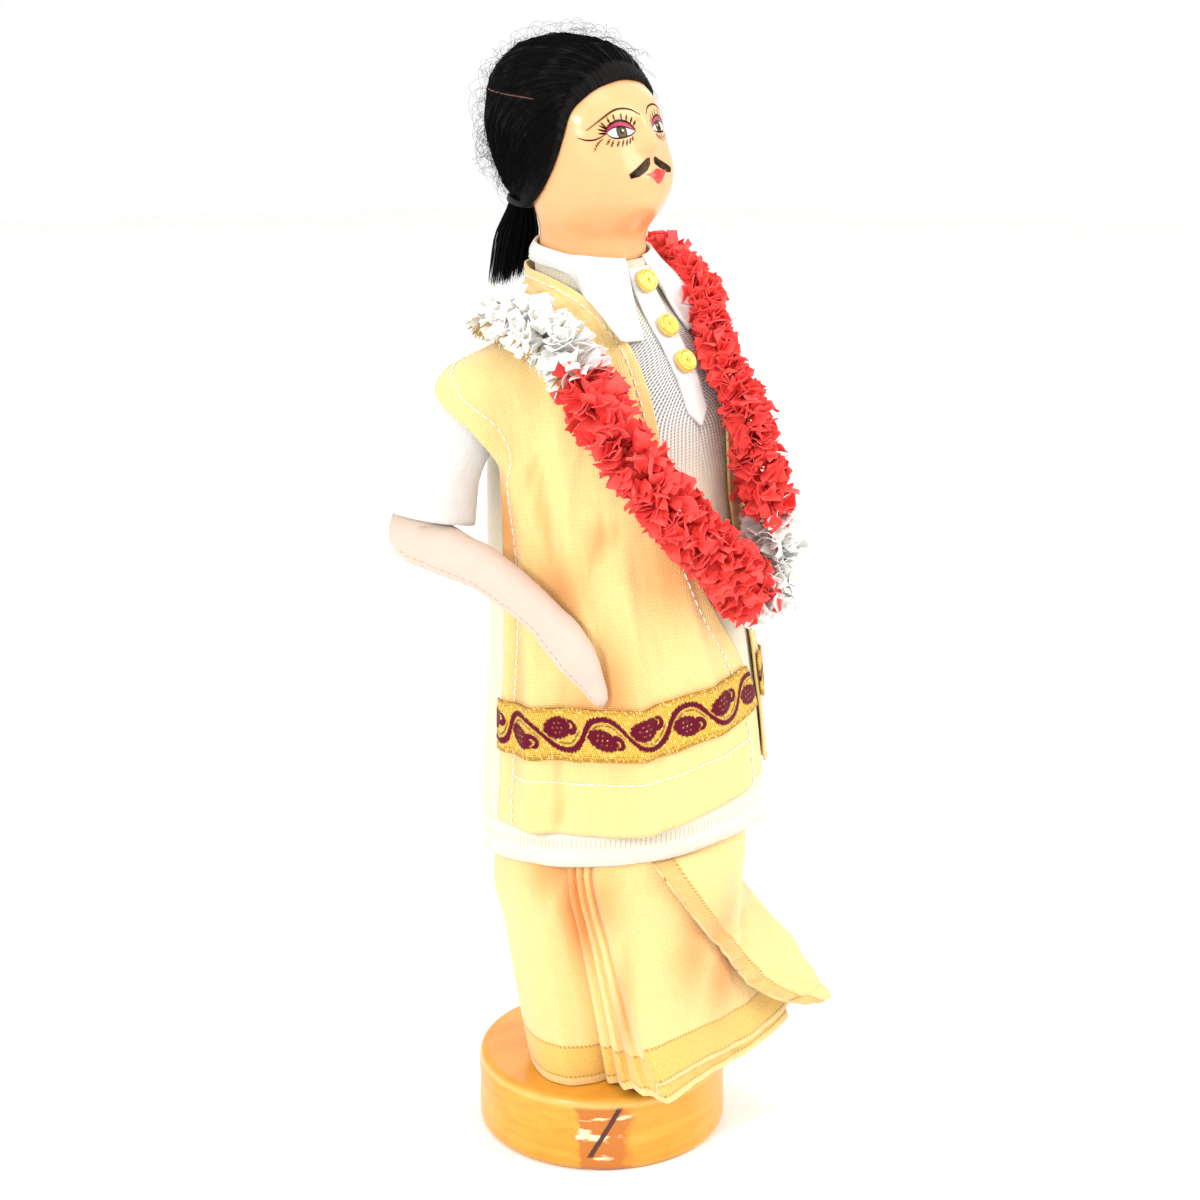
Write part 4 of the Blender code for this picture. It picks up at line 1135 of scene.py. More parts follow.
def fill_mask(places, outline, soft=0.16):
    """How far each place lies inside an outline."""
    outline = np.array(outline, float)
    inside = np.zeros(len(places), bool)
    gap = np.full(len(places), 9.0)
    for start, end in zip(outline, np.roll(outline, -1, axis=0)):
        step = end - start
        t = np.clip(((places - start) @ step) / max(step @ step, 1e-9), 0, 1)
        gap = np.minimum(gap, np.linalg.norm(places - start - t[:, None] * step, axis=1))
        crosses = (start[1] > places[:, 1]) != (end[1] > places[:, 1])
        rise = np.where(end[1] == start[1], 1e-9, end[1] - start[1])
        at = start[0] + (places[:, 1] - start[1]) * step[0] / rise
        inside ^= crosses & (places[:, 0] < at)
    return fade(np.where(inside, gap, -gap), -soft / 2, soft / 2)


def laid_on(colours, mask, colour, strength=1.0):
    """Lays a colour over an array of colours, as far as a mask covers each."""
    share = (mask * strength)[:, None]
    colours[:] = colours * (1 - share) + np.array(colour) * share


def painted_head():
    """The moulded head, with its face painted on by brush strokes in angle and height."""
    heights = np.concatenate([
        np.linspace(221.5, 244, 20, endpoint=False),
        np.linspace(244, 251.4, 50, endpoint=False),
        np.linspace(251.4, 254, 8, endpoint=False),
        np.linspace(254, 263.6, 86, endpoint=False),
        np.linspace(263.6, 272.8, 12),
    ])
    grid, angles, heights = head_grid(264, heights)
    crown = np.repeat(grid[-1].mean(axis=0)[None, None] + [0, 0, 0.0009], grid.shape[1], axis=1)
    grid = np.concatenate([grid, crown])
    heights = np.append(heights, 273.6)
    skin = grid_piece("head_skin", grid, painted_skin(), closed=True)
    columns = np.broadcast_to(angles, (len(heights), len(angles))).ravel()
    rows = np.repeat(heights, len(angles))
    # One degree round the face is about 0.29 units there, which makes the places even
    degree = 0.29
    colours = face_colours(np.stack([columns * degree, rows], 1), degree)
    paint_points(skin, "paint", colours)
    dress(skin, "painted_skin", "head")


def face_colours(places, degree):
    """The colour of every place on the head, given as units across and up."""
    skin = np.array(colour_of("skin"))
    colours = np.tile(skin, (len(places), 1))

    def scaled(points, side):
        return [(side * a * degree, h) for a, h in points]

    u, v = places[:, 0], places[:, 1]
    # Painted shade on the neck under the jaw, and more painted shade under the front of the chin
    laid_on(colours, fade(239.5 - v, 0, 9) * fade(v, 224, 232), (0.68, 0.28, 0.09), 0.55)
    laid_on(colours, bump((v - 236.5) / 2.6) * bump(u / 7), (0.66, 0.25, 0.08), 0.25)
    black = (0.003, 0.002, 0.002)
    face = np.abs(u) < 22
    for side in (-1, 1):
        near = face & (side * u > -1.5)
        spots = places[near]
        part = colours[near]
        brush = functools.partial(laid_on, part)
        cheek = bump((spots[:, 0] - side * 9.5) / 3.6) * bump((spots[:, 1] - 249.0) / 3.6)
        brush(cheek, (0.78, 0.33, 0.17), 0.3)
        eye = scaled(LID_LOW + LOW_LID, side)
        white = fill_mask(spots, eye)
        brush(white, (0.80, 0.78, 0.75))
        middle_of_eye = np.array([side * IRIS[0] * degree, IRIS[1]])
        gap = np.linalg.norm((spots - middle_of_eye) / [0.88, 1.0], axis=1)
        brush(white * (1 - fade(gap, IRIS[2] - 0.12, IRIS[2] + 0.1)), (0.030, 0.022, 0.016))
        brush(white * (1 - fade(gap, 0.95, 1.30)), (0.10, 0.08, 0.045), 0.8)
        brush(white * (1 - fade(gap, 0.62, 0.85)), (0.008, 0.006, 0.006))
        glint = np.linalg.norm(spots - middle_of_eye - [side * -0.35, 0.35], axis=1)
        brush(1 - fade(glint, 0.16, 0.34), (0.75, 0.72, 0.55))
        band = scaled(LID_TOP + LID_LOW[::-1], side)
        brush(fill_mask(spots, band), (0.36, 0.012, 0.06))
        brush(stroke_mask(spots, scaled(LID_TOP, side), 0.62), black)
        brush(stroke_mask(spots, scaled(LID_LOW, side), 0.42), black, 0.9)
        brush(stroke_mask(spots, scaled(LOW_LID, side), 0.50), black)
        brush(stroke_mask(spots, scaled(LINER_TAIL, side), 0.46), black)
        brush(stroke_mask(spots, scaled(LONG_LASH, side), 0.42), black)
        for root, tip in UPPER_LASHES + LOWER_LASHES:
            brush(stroke_mask(spots, scaled([root, tip], side), 0.52), black)
        for lash in CORNER_LASHES:
            brush(stroke_mask(spots, scaled(lash, side), 0.55), black)
        brush(stroke_mask(spots, scaled(BROW, side), 0.56), black)
        brush(fill_mask(spots, scaled(MOUSTACHE, side), 0.3), (0.005, 0.003, 0.003))
        colours[near] = part
    laid_on(colours, fill_mask(places, scaled(LIPS, 1), 0.3), (0.70, 0.018, 0.016))
    return colours


def painted_skin():
    """Glossy peach paint over the moulding, coloured by the brush work."""
    wiring = Wiring("painted skin")
    paint = wiring.add("ShaderNodeVertexColor", layer_name="paint").outputs[0]
    mottle = wiring.noise(240.0, 4.0)
    tone = wiring.mix(wiring.spread(mottle, 0.35, 0.7, 0.0, 0.08), paint, (0.85, 0.60, 0.35))
    dents = wiring.noise(150.0, 2.0)
    # Black paint is dull: only places with some red in their colour shine
    red = wiring.add("ShaderNodeSeparateColor", {0: paint}).outputs[0]
    wiring.set(
        Base_Color=tone,
        Roughness=0.34,
        Coat_Weight=wiring.spread(red, 0.05, 0.5, 0.01, 0.38),
        Coat_Roughness=0.15,
        Specular_IOR_Level=wiring.spread(red, 0.05, 0.5, 0.01, 0.2),
        Normal=wiring.relief(dents, 0.0004, 0.12),
    )
    return wiring.material


def black_fibre():
    """Fine dark hair, with streaks along the strands."""
    wiring = Wiring("black fibre")
    streaks = wiring.noise(1.0, 4.0, wiring.uv(), (420.0, 7.0, 1.0))
    tone = wiring.mix(wiring.spread(streaks, 0.35, 0.7), (0.0025, 0.0022, 0.0022), (0.010, 0.009, 0.008))
    wiring.set(
        Base_Color=tone,
        Roughness=0.6,
        Specular_IOR_Level=0.05,
        Normal=wiring.relief(streaks, 0.0005, 0.8),
    )
    return wiring.material


def way_from_head(turn, lean):
    """The direction from the head's middle at a turn round the face's axis and a lean back from it."""
    ahead = Vector((0, -math.cos(HEAD_TILT), math.sin(HEAD_TILT)))
    up = Vector((0, math.sin(HEAD_TILT), math.cos(HEAD_TILT)))
    side = up * math.cos(math.radians(turn)) + Vector((-1, 0, 0)) * math.sin(math.radians(turn))
    return ahead * math.cos(math.radians(lean)) + side * math.sin(math.radians(lean))


def tail_way():
    """The direction up the tail, from its end to the back of the head."""
    return (HEAD_MIDDLE + LIFT + Vector((0, 0.02, -0.007)) - tail_end_point()).normalized()


def gathered(point, knot, skull, start, from_edge):
    """A point of the wig drawn in towards the tie, but kept outside the head."""
    up = tail_way()
    above = (point - knot).dot(up)
    away = point - knot - up * above
    limit = TAIL_DIAMETER / 2 + 0.70 * max(0, above)
    far = max(away.length, 1e-6)
    drawn = away / far * (far**-5 + limit**-5) ** -0.2
    target = knot + up * max(above, -0.0004) + drawn
    target = point.lerp(target, float(fade(from_edge, 0.0, 0.5)))
    way = (target - start).normalized()
    hit = skull.ray_cast(start, way, FAR)[0]
    least = (hit - start).length + CLEARANCE + 0.0004 * from_edge
    return start + way * max((target - start).length, least)


def on_wig(surface, start, way):
    """Where the wig's outside lies from the head's middle in a direction, or None."""
    return surface.ray_cast(start + way * 0.06, -way, 0.06)[0]


def wig(strand_count):
    """The black wig: a full cap, strands combed over it into the tied tail, and loose frizz."""
    skull = solids("head")[0]
    start = HEAD_MIDDLE + LIFT
    knot = TAIL_KNOT + LIFT
    around, back = 180, 60
    finish = black_fibre()
    outer = np.zeros((back, around, 3))
    inner = np.zeros((back, around, 3))
    rng = np.random.default_rng(5)
    locks = ripple(np.arange(around) / around, 3, (11, 17, 23, 31, 43))
    for k in range(around):
        turn = 360 * k / around
        turn = turn if turn <= 180 else turn - 360
        edge = smooth(HAIRLINE, abs(turn))[0]
        for step in range(back):
            lean = edge + (176 - edge) * (step / (back - 1)) ** 1.15
            way = way_from_head(turn, lean)
            from_edge = min(1, (lean - edge) / 32)
            fullness = 2.8 + 8.6 * max(0, way.y + 0.12) ** 1.1 * (1 - 0.6 * max(0, way.z))
            thick = (0.55 + (fullness + 0.45 * locks[k] * from_edge) * from_edge**0.6) * UNIT
            hit = skull.ray_cast(start, way, FAR)[0]
            skin = (hit - start).length + CLEARANCE
            inner[step, k] = start + way * skin
            point = start + way * (skin + 0.0008 * from_edge + thick)
            outer[step, k] = gathered(point, knot, skull, start, from_edge)
    cap_grid = np.concatenate([inner[:1], outer, outer[-1:].mean(axis=1, keepdims=True).repeat(around, 1)])
    flow = flow_map(cap_grid, knot)
    cap = grid_piece("hair_cap", cap_grid, finish, closed=True, flip=True, texture_map=flow)
    dress(cap, "black_fibre", "hair")

    surface = surface_of(cap)
    courses = []
    steps = 12
    root = np.array(knot) + np.array([0, -0.0012, 0.0008])
    to_knot = (Vector(root) - start).normalized()
    for n in range(strand_count):
        turn = rng.uniform(-180, 180)
        edge = smooth(HAIRLINE, abs(turn))[0]
        lean = edge + rng.uniform(0.2, 6) if n % 3 else edge + rng.uniform(6, 90)
        first = way_from_head(turn, min(lean, 168))
        angle = math.acos(max(-1, min(1, first.dot(to_knot))))
        lift = rng.uniform(0.00002, 0.00045)
        sway = rng.uniform(-0.045, 0.045)
        side = first.cross(to_knot).normalized()
        course = []
        for s in np.linspace(0, 1, steps):
            way = first * math.sin((1 - s) * angle) + to_knot * math.sin(s * angle)
            way = way / max(math.sin(angle), 1e-6) + side * sway * math.sin(math.pi * s)
            way = (way + side * 0.012 * math.sin(9 * s + n)).normalized()
            hit = on_wig(surface, start, way)
            top = (hit - start).length if hit is not None else 0.02
            course.append(start + way * (top + lift * math.sin(math.pi * min(1, s * 1.4)) ** 0.5))
        gather = np.clip((np.linspace(0, 1, steps) - 0.8) / 0.2, 0, 1)[:, None] ** 1.6
        ring = np.array([math.cos(n * 2.4), 0, math.sin(n * 2.4)]) * TAIL_DIAMETER * 0.42
        course = np.array([tuple(p) for p in course]) * (1 - gather) + (root + ring) * gather
        courses.append(course)
    courses = np.array(courses)
    radii = np.full(courses.shape[:2], COMBED_HAIR)
    radii[:, :2] *= np.array([0.3, 0.8])
    combed = tubes("hair_combed", courses, radii, 3, finish)
    dress(combed, "black_fibre")

    tail = tail_courses(rng, 520)
    radii = np.full(tail.shape[:2], TAIL_HAIR)
    radii[:, -3:] *= np.array([0.9, 0.6, 0.25])
    dress(tubes("hair_tail", tail, radii, 3, finish), "black_fibre")

    frizz = frizz_courses(rng, surface, start, 1100, 1.0)
    radii = np.full(frizz.shape[:2], FRIZZ_HAIR)
    dress(tubes("hair_frizz", frizz, radii, 3, finish), "black_fibre")
    fuzz = frizz_courses(rng, surface, start, 600, 0.16)
    radii = np.full(fuzz.shape[:2], FUZZ_HAIR)
    dress(tubes("hair_fuzz", fuzz, radii, 3, finish), "black_fibre")
    thread_tie(knot)
    ring = []
    for angle in np.linspace(98, 262, 120):
        turn = math.radians(angle)
        way = Vector((-math.sin(turn), -math.cos(turn), 0.42 + 0.16 * ((angle - 180) / 82) ** 2))
        way.normalize()
        hit = on_wig(surface, start, way)
        if hit is not None:
            ring.append(tuple(hit + way * 0.00012))
    radii = np.full((1, len(ring)), BAND_THREAD)
    brown = plain_thread("brown thread", (0.10, 0.025, 0.015))
    dress(tubes("hair_band_thread", np.array([ring]), radii, 6, brown), "black_fibre")


def flow_map(grid, knot):
    """A texture map that turns round the knot and runs out from it, so that streaks flow into the tail."""
    full = np.concatenate([grid, grid[:, :1]], axis=1)
    way = full - np.array(knot)
    far = np.linalg.norm(way, axis=2)
    turn = np.unwrap(np.arctan2(way[..., 0], way[..., 2] + 0.35 * np.abs(way[..., 1])), axis=1)
    return np.stack([turn / (2 * np.pi), far * 20], axis=2)


def tail_end_point():
    """Where the tail stops, just over the garland at the nape."""
    return Vector((0, 33 * UNIT, 214.2 * UNIT)) + LIFT


def tail_courses(rng, count):
    """Strands of the tail from the knot down, spread like a brush, ending unevenly."""
    knot = TAIL_KNOT + LIFT
    end = tail_end_point()
    courses = []
    for n in range(count):
        turn = n * 2.39996
        share = math.sqrt((n + 0.5) / count)
        inner = Vector((math.cos(turn), math.sin(turn), 0)) * TAIL_DIAMETER * 0.46 * share
        width = TAIL_DIAMETER * rng.uniform(0.6, 0.98) * share
        spread = Vector((math.cos(turn), math.sin(turn) * 0.9, 0)) * width
        stop = rng.uniform(0.86, 1.06) + 0.10 * math.sin(turn)
        course = []
        for s in np.linspace(-0.12, 1, 10):
            out = fade(s, -0.05, 0.5) * (1 - 0.18 * max(0, s - 0.6))
            middle_point = knot.lerp(end, s * stop)
            course.append(middle_point + inner * (1 - out) + spread * out)
        courses.append([tuple(p) for p in course])
    return np.array(courses)


def frizz_courses(rng, surface, start, count, share):
    """Thin loose hairs that stand off the cap in arcs, most at the back and the top; share is how far."""
    courses = []
    while len(courses) < count:
        turn = rng.uniform(-180, 180)
        lean = rng.uniform(smooth(HAIRLINE, abs(turn))[0] + 14, 172)
        if share == 1 and (lean < 78 or abs(turn) > 130):
            continue
        way = way_from_head(turn, lean)
        hit = on_wig(surface, start, way)
        if hit is None:
            continue
        drift = Vector(rng.normal(0, 1, 3))
        drift = (drift - way * drift.dot(way)).normalized()
        rise = rng.uniform(0.0006, 0.0036) * (1.25 if way.y > 0 else 0.8) * share
        length = rng.uniform(0.004, 0.011) * (1 if share == 1 else 0.6)
        curl = rng.uniform(-1, 1) * 0.002
        turn_side = way.cross(drift)
        points = []
        for s in np.linspace(0, 1, 7):
            out = rise * math.sin(math.pi * min(1, s * rng.uniform(0.98, 1.02)) * 0.8)
            fall = 0.02 * (length * s) ** 2 / 0.001 if share < 1 else 0.3 * length * s * s
            aside = drift * length * s + turn_side * curl * math.sin(4 * s)
            points.append(tuple(hit + aside + way * (out - fall)))
        end = (Vector(points[-1]) - start).normalized()
        if math.degrees(end.angle(way_from_head(0, 0))) > smooth(HAIRLINE, abs(turn))[0] + 6:
            courses.append(points)
    return np.array(courses)


def thread_tie(knot):
    """Two and a half turns of black thread round the tail, with a small knot."""
    along_tail = tail_way()
    across = along_tail.cross(Vector((1, 0, 0))).normalized()
    right = along_tail.cross(across)
    points = []
    turns = 2.5
    radius = TAIL_DIAMETER / 2 + 0.0001
    for s in np.linspace(0, 1, 90):
        turn = 2 * math.pi * turns * s
        out = across * math.cos(turn) * radius + right * math.sin(turn) * radius
        points.append(knot + out + along_tail * 0.0011 * (s - 0.5))
    course = np.array([[tuple(p) for p in points]])
    black = plain_thread("black thread", (0.006, 0.005, 0.005), 0.9)
    tie = tubes("hair_thread", course, np.full((1, len(points)), TIE_THREAD), 8, black)
    dress(tie, "black_thread", "hair_tie")


def stripes(wiring, tone):
    """Dark dotted stripes down the chest that fade out lower down, on fine golden lines."""
    across, height, _ = wiring.axes(wiring.uv())
    from_back = wiring.math("ABSOLUTE", across)
    lines = wiring.wave(0.00125, "X")
    dots = wiring.wave(0.0008, "Y")
    gold = wiring.spread(wiring.wave(0.0021, "X"), 0.75, 0.95, 0.0, 0.22)
    tone = wiring.mix(gold, tone, (0.80, 0.55, 0.22))
    dark = wiring.times(wiring.spread(lines, 0.35, 0.65), wiring.spread(dots, 0.15, 0.6, 0.45, 1.0))
    in_front = wiring.spread(from_back, 0.045, 0.065, 0.15, 1.0)
    chest = wiring.times(wiring.spread(height, 0.092, 0.118), in_front)
    tone = wiring.mix(wiring.times(chest, 0.8), tone, (0.70, 0.70, 0.71))
    tone = wiring.mix(wiring.times(dark, chest, 0.9), tone, (0.03, 0.036, 0.055))
    band = wiring.spread(height, 0.0088, 0.0092, 1.0, 0.0)
    marks = wiring.times(wiring.spread(height, 0.0046, 0.0050), wiring.spread(height, 0.0074, 0.0070))
    marks = wiring.times(marks, wiring.spread(wiring.wave(0.0013, "X"), 0.7, 0.95), 0.6)
    hem = wiring.mix(marks, (0.74, 0.69, 0.57), (0.52, 0.36, 0.18))
    return wiring.mix(band, tone, hem)


def long_shirt():
    """The long shirt's cloth from hem to neck, with soft folds, a white hem and its stitches."""
    rows, columns = 64, 150
    angles = 360 * np.arange(columns) / columns
    grid = np.zeros((rows, columns, 3))
    for j, angle in enumerate(angles):
        hem = kurta_hem(angle)
        for i in range(rows):
            level = (i / (rows - 1)) ** 0.92
            height = hem + (KURTA_TOP - hem) * level
            low = max(0, 1 - level * 2.4)
            fold = 0.42 * ripple(angle / 360, 8, (5, 7, 9, 13)) * low * UNIT
            crease = 0.14 * ripple(angle / 360 + 0.1 * level, 18, (17, 23)) * UNIT
            radius = kurta_radius(angle, height) + fold + crease - 0.00035
            grid[i, j] = spot(angle, radius, height)
    colour = colour_of("kurta")
    cloth = woven("shirt cloth", colour, shade(colour, 0.9), lines=stripes)
    shirt = thicken(grid_piece("shirt", grid, cloth.material, closed=True), SHIRT_CLOTH, -1)
    dress(shirt, "kurta_cloth", "kurta")
    out = normals_of(grid)
    lines = []
    for distance in (0.0086, 0.0030):
        line, rise = line_above_hem(grid, out, distance)
        lines.append((line + rise * 0.0003, rise))
    gold = plain_thread("gold stitch", (0.80, 0.62, 0.28))
    dress(stitches("shirt_stitches", lines, gold, 0.00011, 0.0010, 0.0011), "kurta_cloth")


def line_above_hem(grid, out, distance):
    """Points and outward directions at a distance up a grid's columns from its first row."""
    steps = np.linalg.norm(np.diff(grid, axis=0), axis=2)
    gone = np.concatenate([np.zeros((1, grid.shape[1])), np.cumsum(steps, axis=0)])
    line, rise = [], []
    for j in range(grid.shape[1]):
        place = np.interp(distance, gone[:, j], np.arange(len(grid)))
        low = min(int(place), len(grid) - 2)
        t = place - low
        line.append(grid[low, j] * (1 - t) + grid[low + 1, j] * t)
        rise.append(out[low, j])
    return np.array(line), np.array(rise)


def flared_sleeve(side, course):
    """A flared sleeve with soft folds, open at its cuff."""
    table = numbered(course)
    steps = 32
    values = [smooth(table, i / steps) for i in range(steps + 1)]
    points = [drawn_point(v) for v in values]
    waves = ripple(np.linspace(0, 1, 73), 21 if side == "right" else 22, (3, 5, 7))

    def shape(i, turn):
        share = i / steps
        fold = 1 + 0.045 * waves[int(round(turn / (2 * math.pi) * 72))] * share
        return [values[i][3] * UNIT * fold, values[i][4] * UNIT * fold]

    grid = array_of(tube_rings(points, 72, shape))
    white = colour_of("white")
    cloth = woven("sleeve cloth " + side, white, shade(white, 0.93))
    sleeve = grid_piece("sleeve_cloth_" + side, grid, cloth.material, closed=True, flip=True)
    thicken(sleeve, SHIRT_CLOTH, -1)
    dress(sleeve, "kurta_cloth", "sleeve_" + side)


def cuff_floor(course):
    """The middle of the hollow in a sleeve's cuff, where the arm ends, and the way out of it."""
    table = numbered(course)
    hem = drawn_point(smooth(table, 1))
    inward = (drawn_point(smooth(table, 6 / 7)) - hem).normalized()
    return hem + inward * (CUFF_DEPTH - CLEARANCE - 0.0002), -inward


def stuffed_arm(side, route, sleeve_course):
    """A stuffed arm from inside the cuff to a mitten hand, with a raised seam and its stitches."""
    table = numbered(route)
    steps = 14
    values = [smooth(table, i / steps) for i in range(steps + 1)]
    sizes = [(v[3] * UNIT, v[4] * UNIT) for v in values]
    points = [drawn_point(v) for v in values]
    start, outward = cuff_floor(sleeve_course)
    points[0] = start
    points[1] = start + outward * (CUFF_DEPTH * 0.5)
    surfaces = solids("kurta", "shawl", "shawl_border_right", "shawl_border_left")
    free = range(6, steps + 1)
    for i in free:
        points[i] = pushed_out(surfaces, points[i], max(sizes[i]) + CLEARANCE)
    for _ in range(2):
        soft = [(points[i - 1] + points[i] * 2 + points[min(i + 1, steps)]) / 4 for i in free]
        for i, point in zip(free, soft):
            points[i] = pushed_out(surfaces, point, max(sizes[i]) + CLEARANCE)
    count = 90
    fine_points = along(np.array([tuple(p) for p in points]), np.linspace(0, steps, count))
    fine_sizes = along(np.array(sizes), np.linspace(0, steps, count))
    seam_way = Vector(SEAM_WAYS[side])
    ring = tube_rings([Vector(p) for p in fine_points], 56, lambda i, turn: fine_sizes[i])[count // 2]
    column = max(range(56), key=lambda k: (ring[k] - Vector(fine_points[count // 2])).dot(seam_way))
    seam_turn = 2 * math.pi * column / 56
    pucker = ripple(np.linspace(0, 1, count), 31, (9, 14, 21))

    def shape(i, turn):
        from_seam = abs((turn - seam_turn + math.pi) % (2 * math.pi) - math.pi)
        seam = 0.00025 * bump(from_seam / 0.10) - 0.0002 * bump((from_seam - 0.25) / 0.14)
        end = min(1, (count - 1 - i) / 4) ** 0.5
        wide, thick = fine_sizes[i] * end
        lump = 1 + 0.022 * pucker[i]
        return [wide * lump + seam * end, thick * lump + seam * end]

    grid = array_of(tube_rings([Vector(p) for p in fine_points], 56, shape))
    colour = colour_of("arm")
    cloth = woven("arm cloth " + side, colour, shade(colour, 0.94), thread=0.00045, relief=0.0001)
    arm = grid_piece("arm_cloth_" + side, grid, cloth.material, closed=True, flip=True)
    dress(arm, "arm_cloth", "arm_" + side)
    middle_line = grid.mean(axis=1)
    line = grid[14:, column - 2]
    rise = unit(line - middle_line[14:])
    pink = plain_thread("arm stitch " + side, (0.62, 0.42, 0.36))
    dress(stitches("arm_stitches_" + side, [(line, rise)], pink, 0.0001, 0.0012, 0.0007), "arm_cloth")


def collar_rings():
    """The collar's rows: it stands at the neck and folds down over the shawl to two points."""
    surfaces = [*solids("kurta", "head"), front_of_piece(bpy.data.objects["shawl_cloth"])]
    edges = numbered(COLLAR_EDGES)
    rows, columns = 22, 5
    neck = smooth(HEAD_SECTIONS, 229)[0] * UNIT + 2 * CLEARANCE
    rings = []
    for i in range(rows + 1):
        inner_angle, outer_angle, outer_height = smooth(edges, i / rows)
        back = (1 - math.cos(math.radians(inner_angle))) / 2
        inner_height = 224.8 + 3 * back**0.7
        ring = []
        for j in range(columns):
            share = j / (columns - 1)
            angle = inner_angle + (outer_angle - inner_angle) * share
            height = (inner_height + (outer_height - inner_height) * share) * UNIT
            outer_reach = reach(surfaces, outer_angle, outer_height * UNIT) + CLEARANCE
            line = neck + (outer_reach - neck) * share + 0.9 * UNIT * math.sin(math.pi * share)
            floor = reach(surfaces, angle, height) + CLEARANCE + FACET_ROOM
            ring.append(spot(angle, max(line, floor), height))
        rings.append(ring)
    lift_off(rings, surfaces, CLEARANCE + FACET_ROOM / 3)
    return rings


def white_collar():
    grid = finer(array_of(collar_rings()), 140, 22)
    white = colour_of("white")
    cloth = woven("collar cloth", white, shade(white, 0.95), relief=0.0001)
    collar = thicken(grid_piece("collar_cloth", grid, cloth.material, flip=True), COLLAR_CLOTH)
    dress(collar, "white_cloth", "collar")
    out = normals_of(grid)
    rise = out[4:-4, -3]
    line = grid[4:-4, -3] + rise * COLLAR_CLOTH
    thread = plain_thread("white stitch", white)
    dress(stitches("collar_stitches", [(line, rise)], thread, 0.00010, 0.0012, 0.0006), "white_cloth")


def front_of(surface, across, height):
    """Where a line from straight ahead meets the surface, and the way it faces there."""
    start = Vector((across, -FAR, height)) + LIFT
    point, normal, _, _ = surface.ray_cast(start, Vector((0, 1, 0)), 2 * FAR)
    return point, normal


def white_placket():
    """The white strip down the chest, ending in a point."""
    surface = solids("kurta")[0]
    rows, columns = 40, 13
    top, bottom = 222.4 * UNIT, 184.4 * UNIT
    grid = np.zeros((rows, columns, 3))
    for i in range(rows):
        for j in range(columns):
            across = (j / (columns - 1) - 0.5) * PLACKET_WIDTH
            end = bottom + abs(across)
            height = end + (top - end) * i / (rows - 1)
            point, normal = front_of(surface, across, height)
            grid[i, j] = point + normal * (CLEARANCE + FACET_ROOM / 3)
    white = colour_of("white")
    cloth = woven("placket cloth", white, shade(white, 0.95), relief=0.0001)
    strip = thicken(grid_piece("placket_cloth", grid, cloth.material), PLACKET_CLOTH)
    dress(strip, "white_cloth", "placket")


# A stud's outline from its bottom middle to its top middle, as shares of its radius and thickness
STUD_PROFILE = (
    (0.001, 0), (0.9, 0), (1, 0.25), (1, 0.62), (0.97, 0.85), (0.9, 1), (0.8, 0.97), (0.72, 0.78),
    (0.5, 0.72), (0.3, 0.74), (0.2, 0.86), (0.12, 0.82), (0.1, 0.55), (0.001, 0.5),
)


def gold_stud(name, height):
    """A round stud: a thin rim, a shallow dish and a small eye in the middle."""
    surface = solids("placket")[0]
    point, normal = front_of(surface, 0, height * UNIT)
    half = BUTTON_DIAMETER / 2
    thick = BUTTON_THICKNESS
    profile = np.array(STUD_PROFILE) * (half, thick)
    fine = along(profile, np.linspace(0, len(profile) - 1, 52))
    fine[:, 0] = np.maximum(fine[:, 0], half * 0.001)
    wiring = Wiring("gold stud " + name)
    specks = wiring.noise(900.0, 3.0)
    tone = wiring.mix(wiring.spread(specks, 0.35, 0.7), (0.85, 0.50, 0.06), (0.95, 0.66, 0.13))
    relief = wiring.relief(specks, 0.0001, 0.3)
    wiring.set(Base_Color=tone, Metallic=0.35, Roughness=0.32, Coat_Weight=0.4, Normal=relief)
    stud = lathe(name + "_stud", fine, 40, wiring.material, point + normal * 2 * CLEARANCE, normal)
    dress(stud, "gold_stud", name)


def shawl_rings():
    """The shawl's inner side as in the solids: rows of points from the right hem to the left one."""
    surfaces = solids("kurta", "sleeve_right", "sleeve_left")
    rows, columns = 34, 8
    edges = numbered(SHAWL_EDGES)
    angles = np.zeros((rows + 1, columns))
    heights = np.zeros((rows + 1, columns))
    for i in range(rows + 1):
        near_angle, near_height, far_angle, far_height = smooth(edges, i / rows)
        for j in range(columns):
            share = j / (columns - 1)
            angles[i, j] = near_angle + (far_angle - near_angle) * share
            heights[i, j] = (near_height + (far_height - near_height) * share) * UNIT
    floor = np.zeros_like(angles)
    for i in range(rows + 1):
        for j in range(columns):
            floor[i, j] = reach(surfaces, angles[i, j], heights[i, j]) + CLEARANCE + FACET_ROOM
    out = eased(floor, 8)
    for i in range(rows + 1):
        for j in range(columns):
            out[i, j] += shawl_fold(angles[i, j], heights[i, j] / UNIT) * UNIT
    rings = [
        [spot(angles[i, j], out[i, j], heights[i, j]) for j in range(columns)] for i in range(rows + 1)
    ]
    lift_off(rings, surfaces, CLEARANCE + FACET_ROOM)
    return rings


def shawl_fold(angle, height):
    """How far the cloth stands off in its folds."""
    angle = (angle + 180) % 360 - 180
    low = min(1, max(0, (150 - height) / 60))
    ridge = 3.2 * bump((angle - 38) / 15) * low
    second = 1.4 * bump((angle - 88) / 12) * low
    left = 0.7 * bump((angle + 62) / 18) * low
    return 0.2 + ridge + second + left


